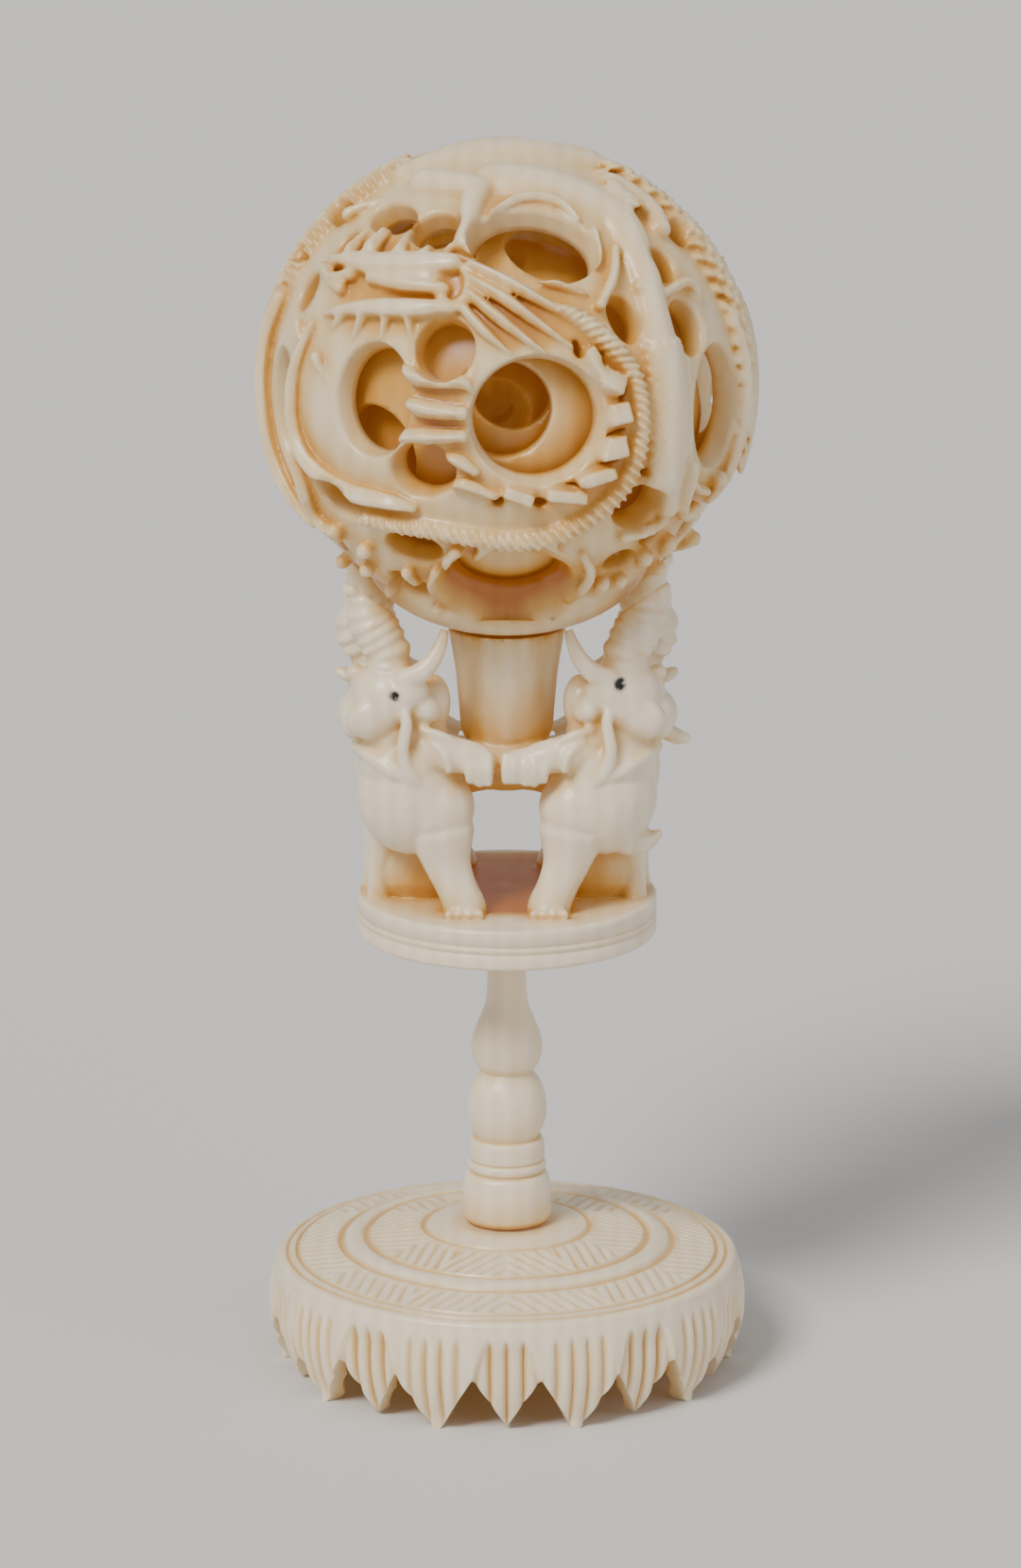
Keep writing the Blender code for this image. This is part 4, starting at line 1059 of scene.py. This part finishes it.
def blade(bm, azimuth, elevation, halfLong, halfWide, turn):
    # A flat plate laid like a louvre, its lower edge the high one
    here = toward(azimuth, elevation)
    east, north = sideways(here)
    angle, tilt = math.radians(turn), math.radians(bladeSet["tilt"])
    along = east * math.cos(angle) + north * math.sin(angle)
    side = here.cross(along)
    out = here * math.cos(tilt) + side * math.sin(tilt)
    side = side * math.cos(tilt) - here * math.sin(tilt)
    long, wide, thick = arcMm(halfLong) * 2, arcMm(halfWide) * 2, bladeSet["thick"] * 2
    centre = here * bladeSet["rise"]
    matrix = placed(along * long, side * wide, out * thick, centre)
    bmesh.ops.create_cube(bm, size=1.0, matrix=Matrix.Scale(mm, 4) @ matrix)


def carvedFront():
    bm = bmesh.new()
    for knots in ropes:
        ballStroke(bm, knots, **strokeSet["ropes"])
        ribs(bm, knots)
    families = {"bands": smoothBands, "crests": crests, "locks": maneLocks, "head": headStrokes}
    for family, paths in families.items():
        for knots in paths:
            ballStroke(bm, knots, **strokeSet[family])
    for start, end, width in spikes:
        ballStroke(bm, [(*start, width), (*end, width * 0.25)], **strokeSet["spikes"])
    for values in blades:
        blade(bm, *values)
    scales(bm)
    egg(bm, (0, 0, -padSet["height"]), (padSet["wide"], padSet["wide"], padSet["thick"]), detail=4)
    return bm


def buildBall():
    values = ballSet
    ground = values["radius"] - values["relief"]
    bore = ground - values["wall"]
    bm = carvedFront()
    halfTurned(bm)
    bmesh.ops.create_icosphere(bm, subdivisions=6, radius=ground * mm)
    ball = newPiece("carvedBall", bm)
    fuse(ball, values["voxel"])
    for vert in ball.data.vertices:          # the tops lie on the sphere that the ball was turned to
        vert.co *= min(1.0, values["radius"] * mm / vert.co.length)
    soften(ball, 1)
    report("carving fused")
    tool = bmesh.new()
    bmesh.ops.create_icosphere(tool, subdivisions=6, radius=bore * mm)
    carveAway(ball, tool)
    drills = bmesh.new()
    near, far = bore * 0.88, values["radius"] * 1.04
    for opening in openings + slots:
        drill(drills, *opening, near, far)
    halfTurned(drills)
    carveAway(ball, drills)
    keepLargest(ball)
    thinTo(ball, values["triangles"])
    refine(ball, values["longest"], 2)
    raiseBy(ball, values["height"])
    stainAndShadeBy(ball, ballToneAndShade)
    return ball


# Round holes of the inner balls, the first where the front piercing shows it
innerHoles = [(-1, 8.5), (-42, -8), (28, 60), (50, 3), (-40, 52), (-90, 10), (62, -48)]
innerAims = [((-1, 8.5), 0), ((2, 19), 28), ((-5, 14), 55)]


def buildInner(number, outer, inner, height):
    aim, twist = innerAims[number]
    first = toward(*innerHoles[0])
    turn = first.rotation_difference(toward(*aim)).to_matrix()
    turn = Matrix.Rotation(math.radians(twist), 3, toward(*aim)) @ turn
    bm = bmesh.new()
    bmesh.ops.create_icosphere(bm, subdivisions=6, radius=outer * mm)
    ball = newPiece(f"innerBall{number + 1}", bm)
    tool = bmesh.new()
    bmesh.ops.create_icosphere(tool, subdivisions=5, radius=inner * mm)
    carveAway(ball, tool)
    drills = bmesh.new()
    for place in innerHoles:
        drill(drills, place, innerSet["holeAngle"], innerSet["holeAngle"], 0, place, 1.0, inner * 0.8,
              outer * 1.1, innerSet["sides"])
    halfTurned(drills)
    bmesh.ops.rotate(drills, verts=drills.verts, cent=(0, 0, 0), matrix=turn)
    carveAway(ball, drills)
    raiseBy(ball, height)
    return ball


# The fan of rays that tells how shut in a point is, for the painted shade in the hollows: their reach
# in mm, how wide they spread, the least that a far hit counts, and the rounds of evening out
shadeSet = {"reach": 7.0, "rays": 14, "spread": 0.92, "far": 0.55, "rounds": 3}


def paintHollowShade(pieces):
    # Writes how shut in each point is, 0 to 1, plus the stain, as the attribute that paints shade into
    # the ivory's colour
    verts, faces = [], []
    for piece in pieces:
        start = len(verts)
        verts += [vert.co.copy() for vert in piece.data.vertices]
        faces += [[start + index for index in face.vertices] for face in piece.data.polygons]
    tree = BVHTree.FromPolygons(verts, faces)
    golden = math.pi * (3 - math.sqrt(5))
    reach, rays = shadeSet["reach"] * mm, shadeSet["rays"]
    fan = []
    for count in range(rays):
        rise = 1 - (count + 0.5) / rays * shadeSet["spread"]
        flat = math.sqrt(1 - rise * rise)
        fan.append(Vector((math.cos(golden * count) * flat, math.sin(golden * count) * flat, rise)))
    for piece in pieces:
        mesh = piece.data
        values = []
        for vert in mesh.vertices:
            normal = vert.normal
            turn = normal.to_track_quat("Z", "Y")
            origin = vert.co + normal * 0.05 * mm
            shut = 0.0
            for ray in fan:
                hit = tree.ray_cast(origin, turn @ ray, reach)
                if hit[0] is not None:
                    shut += 1.0 - (1 - shadeSet["far"]) * hit[3] / reach
            values.append(shut / rays)
        near = [[] for _ in mesh.vertices]
        for edge in mesh.edges:
            a, b = edge.vertices
            near[a].append(b)
            near[b].append(a)
        for _ in range(shadeSet["rounds"]):
            values = [(value + sum(values[other] for other in near[index])) / (1 + len(near[index]))
                      for index, value in enumerate(values)]
        if "stain_and_painted_shade" in mesh.attributes:
            values = [value + item.value for value, item in zip(values, mesh.attributes["stain_and_painted_shade"].data)]
        mesh.attributes.new("painted_hollow_shade_and_stain", "FLOAT", "POINT").data.foreach_set("value", values)


def inkEyes(stand):
    mesh = stand.data
    ink = [0.0] * len(mesh.vertices)
    marks = []
    for x, z, size in elephantSet["eyes"]:
        for side in (-1, 1):
            marks.append((x * mm, side, (z + plateSet["top"]) * mm, size * mm))
    for index, vert in enumerate(mesh.vertices):
        for x, side, z, size in marks:
            away = math.hypot(vert.co.x - x, vert.co.z - z)
            if away < size * 1.6 and vert.co.y * side > 8 * mm:
                ink[index] = max(ink[index], min(1.0, max(0.0, (size * 1.25 - away) / (size * 0.4))))
                if away < size:
                    vert.co.y -= side * elephantSet["eyeDepth"] * mm * (1 - away / size)
    mesh.attributes.new("ink", "FLOAT", "POINT").data.foreach_set("value", ink)


def finishPiece(piece, material, node):
    mesh = piece.data
    mesh.materials.clear()
    mesh.materials.append(material)
    mesh.shade_smooth()
    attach(piece, "root")
    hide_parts(node)


addCamera()
addLights()
addFloor()
report("stage set")
foot = buildFoot()
stem = buildStem()
report("foot and stem turned")
stand = buildStand()
report("elephants carved")
ball = buildBall()
report("ball carved")
inners = []
boreRadius = ballSet["radius"] - ballSet["relief"] - ballSet["wall"]
centre = ballSet["height"]
for number in range(innerSet["count"]):
    outerRadius = boreRadius - innerSet["play"]
    wall = innerSet["coreWall"] if number == innerSet["count"] - 1 else innerSet["wall"]
    centre -= innerSet["play"] - gap
    inners.append(buildInner(number, outerRadius, outerRadius - wall, centre))
    boreRadius = outerRadius - wall
report("inner balls bored")
paintHollowShade([foot, stem, stand, ball, *inners])
inkEyes(stand)
report("hollows shaded")
ivory = carvedIvory("polished_carved_ivory")
finishPiece(foot, ivory, "lotus_foot")
finishPiece(stem, ivory, "stem")
finishPiece(stand, ivory, "elephant_stand")
finishPiece(ball, ivory, "ball_outer")
for number, piece in enumerate(inners):
    # each deeper inner ball gets more painted shade
    shade = innerSet["shade"] + innerSet["shadeStep"] * number
    paintedShadeIvory = carvedIvory(f"deep_ivory_{number + 1}", shade)
    finishPiece(piece, paintedShadeIvory, f"ball_inner_{number + 1}")
foot.data.set_sharp_from_angle(angle=math.radians(40))
stem.data.set_sharp_from_angle(angle=math.radians(50))
for piece in (foot, stem, stand, ball, *inners):
    print(piece.name, len(piece.data.polygons), "faces")
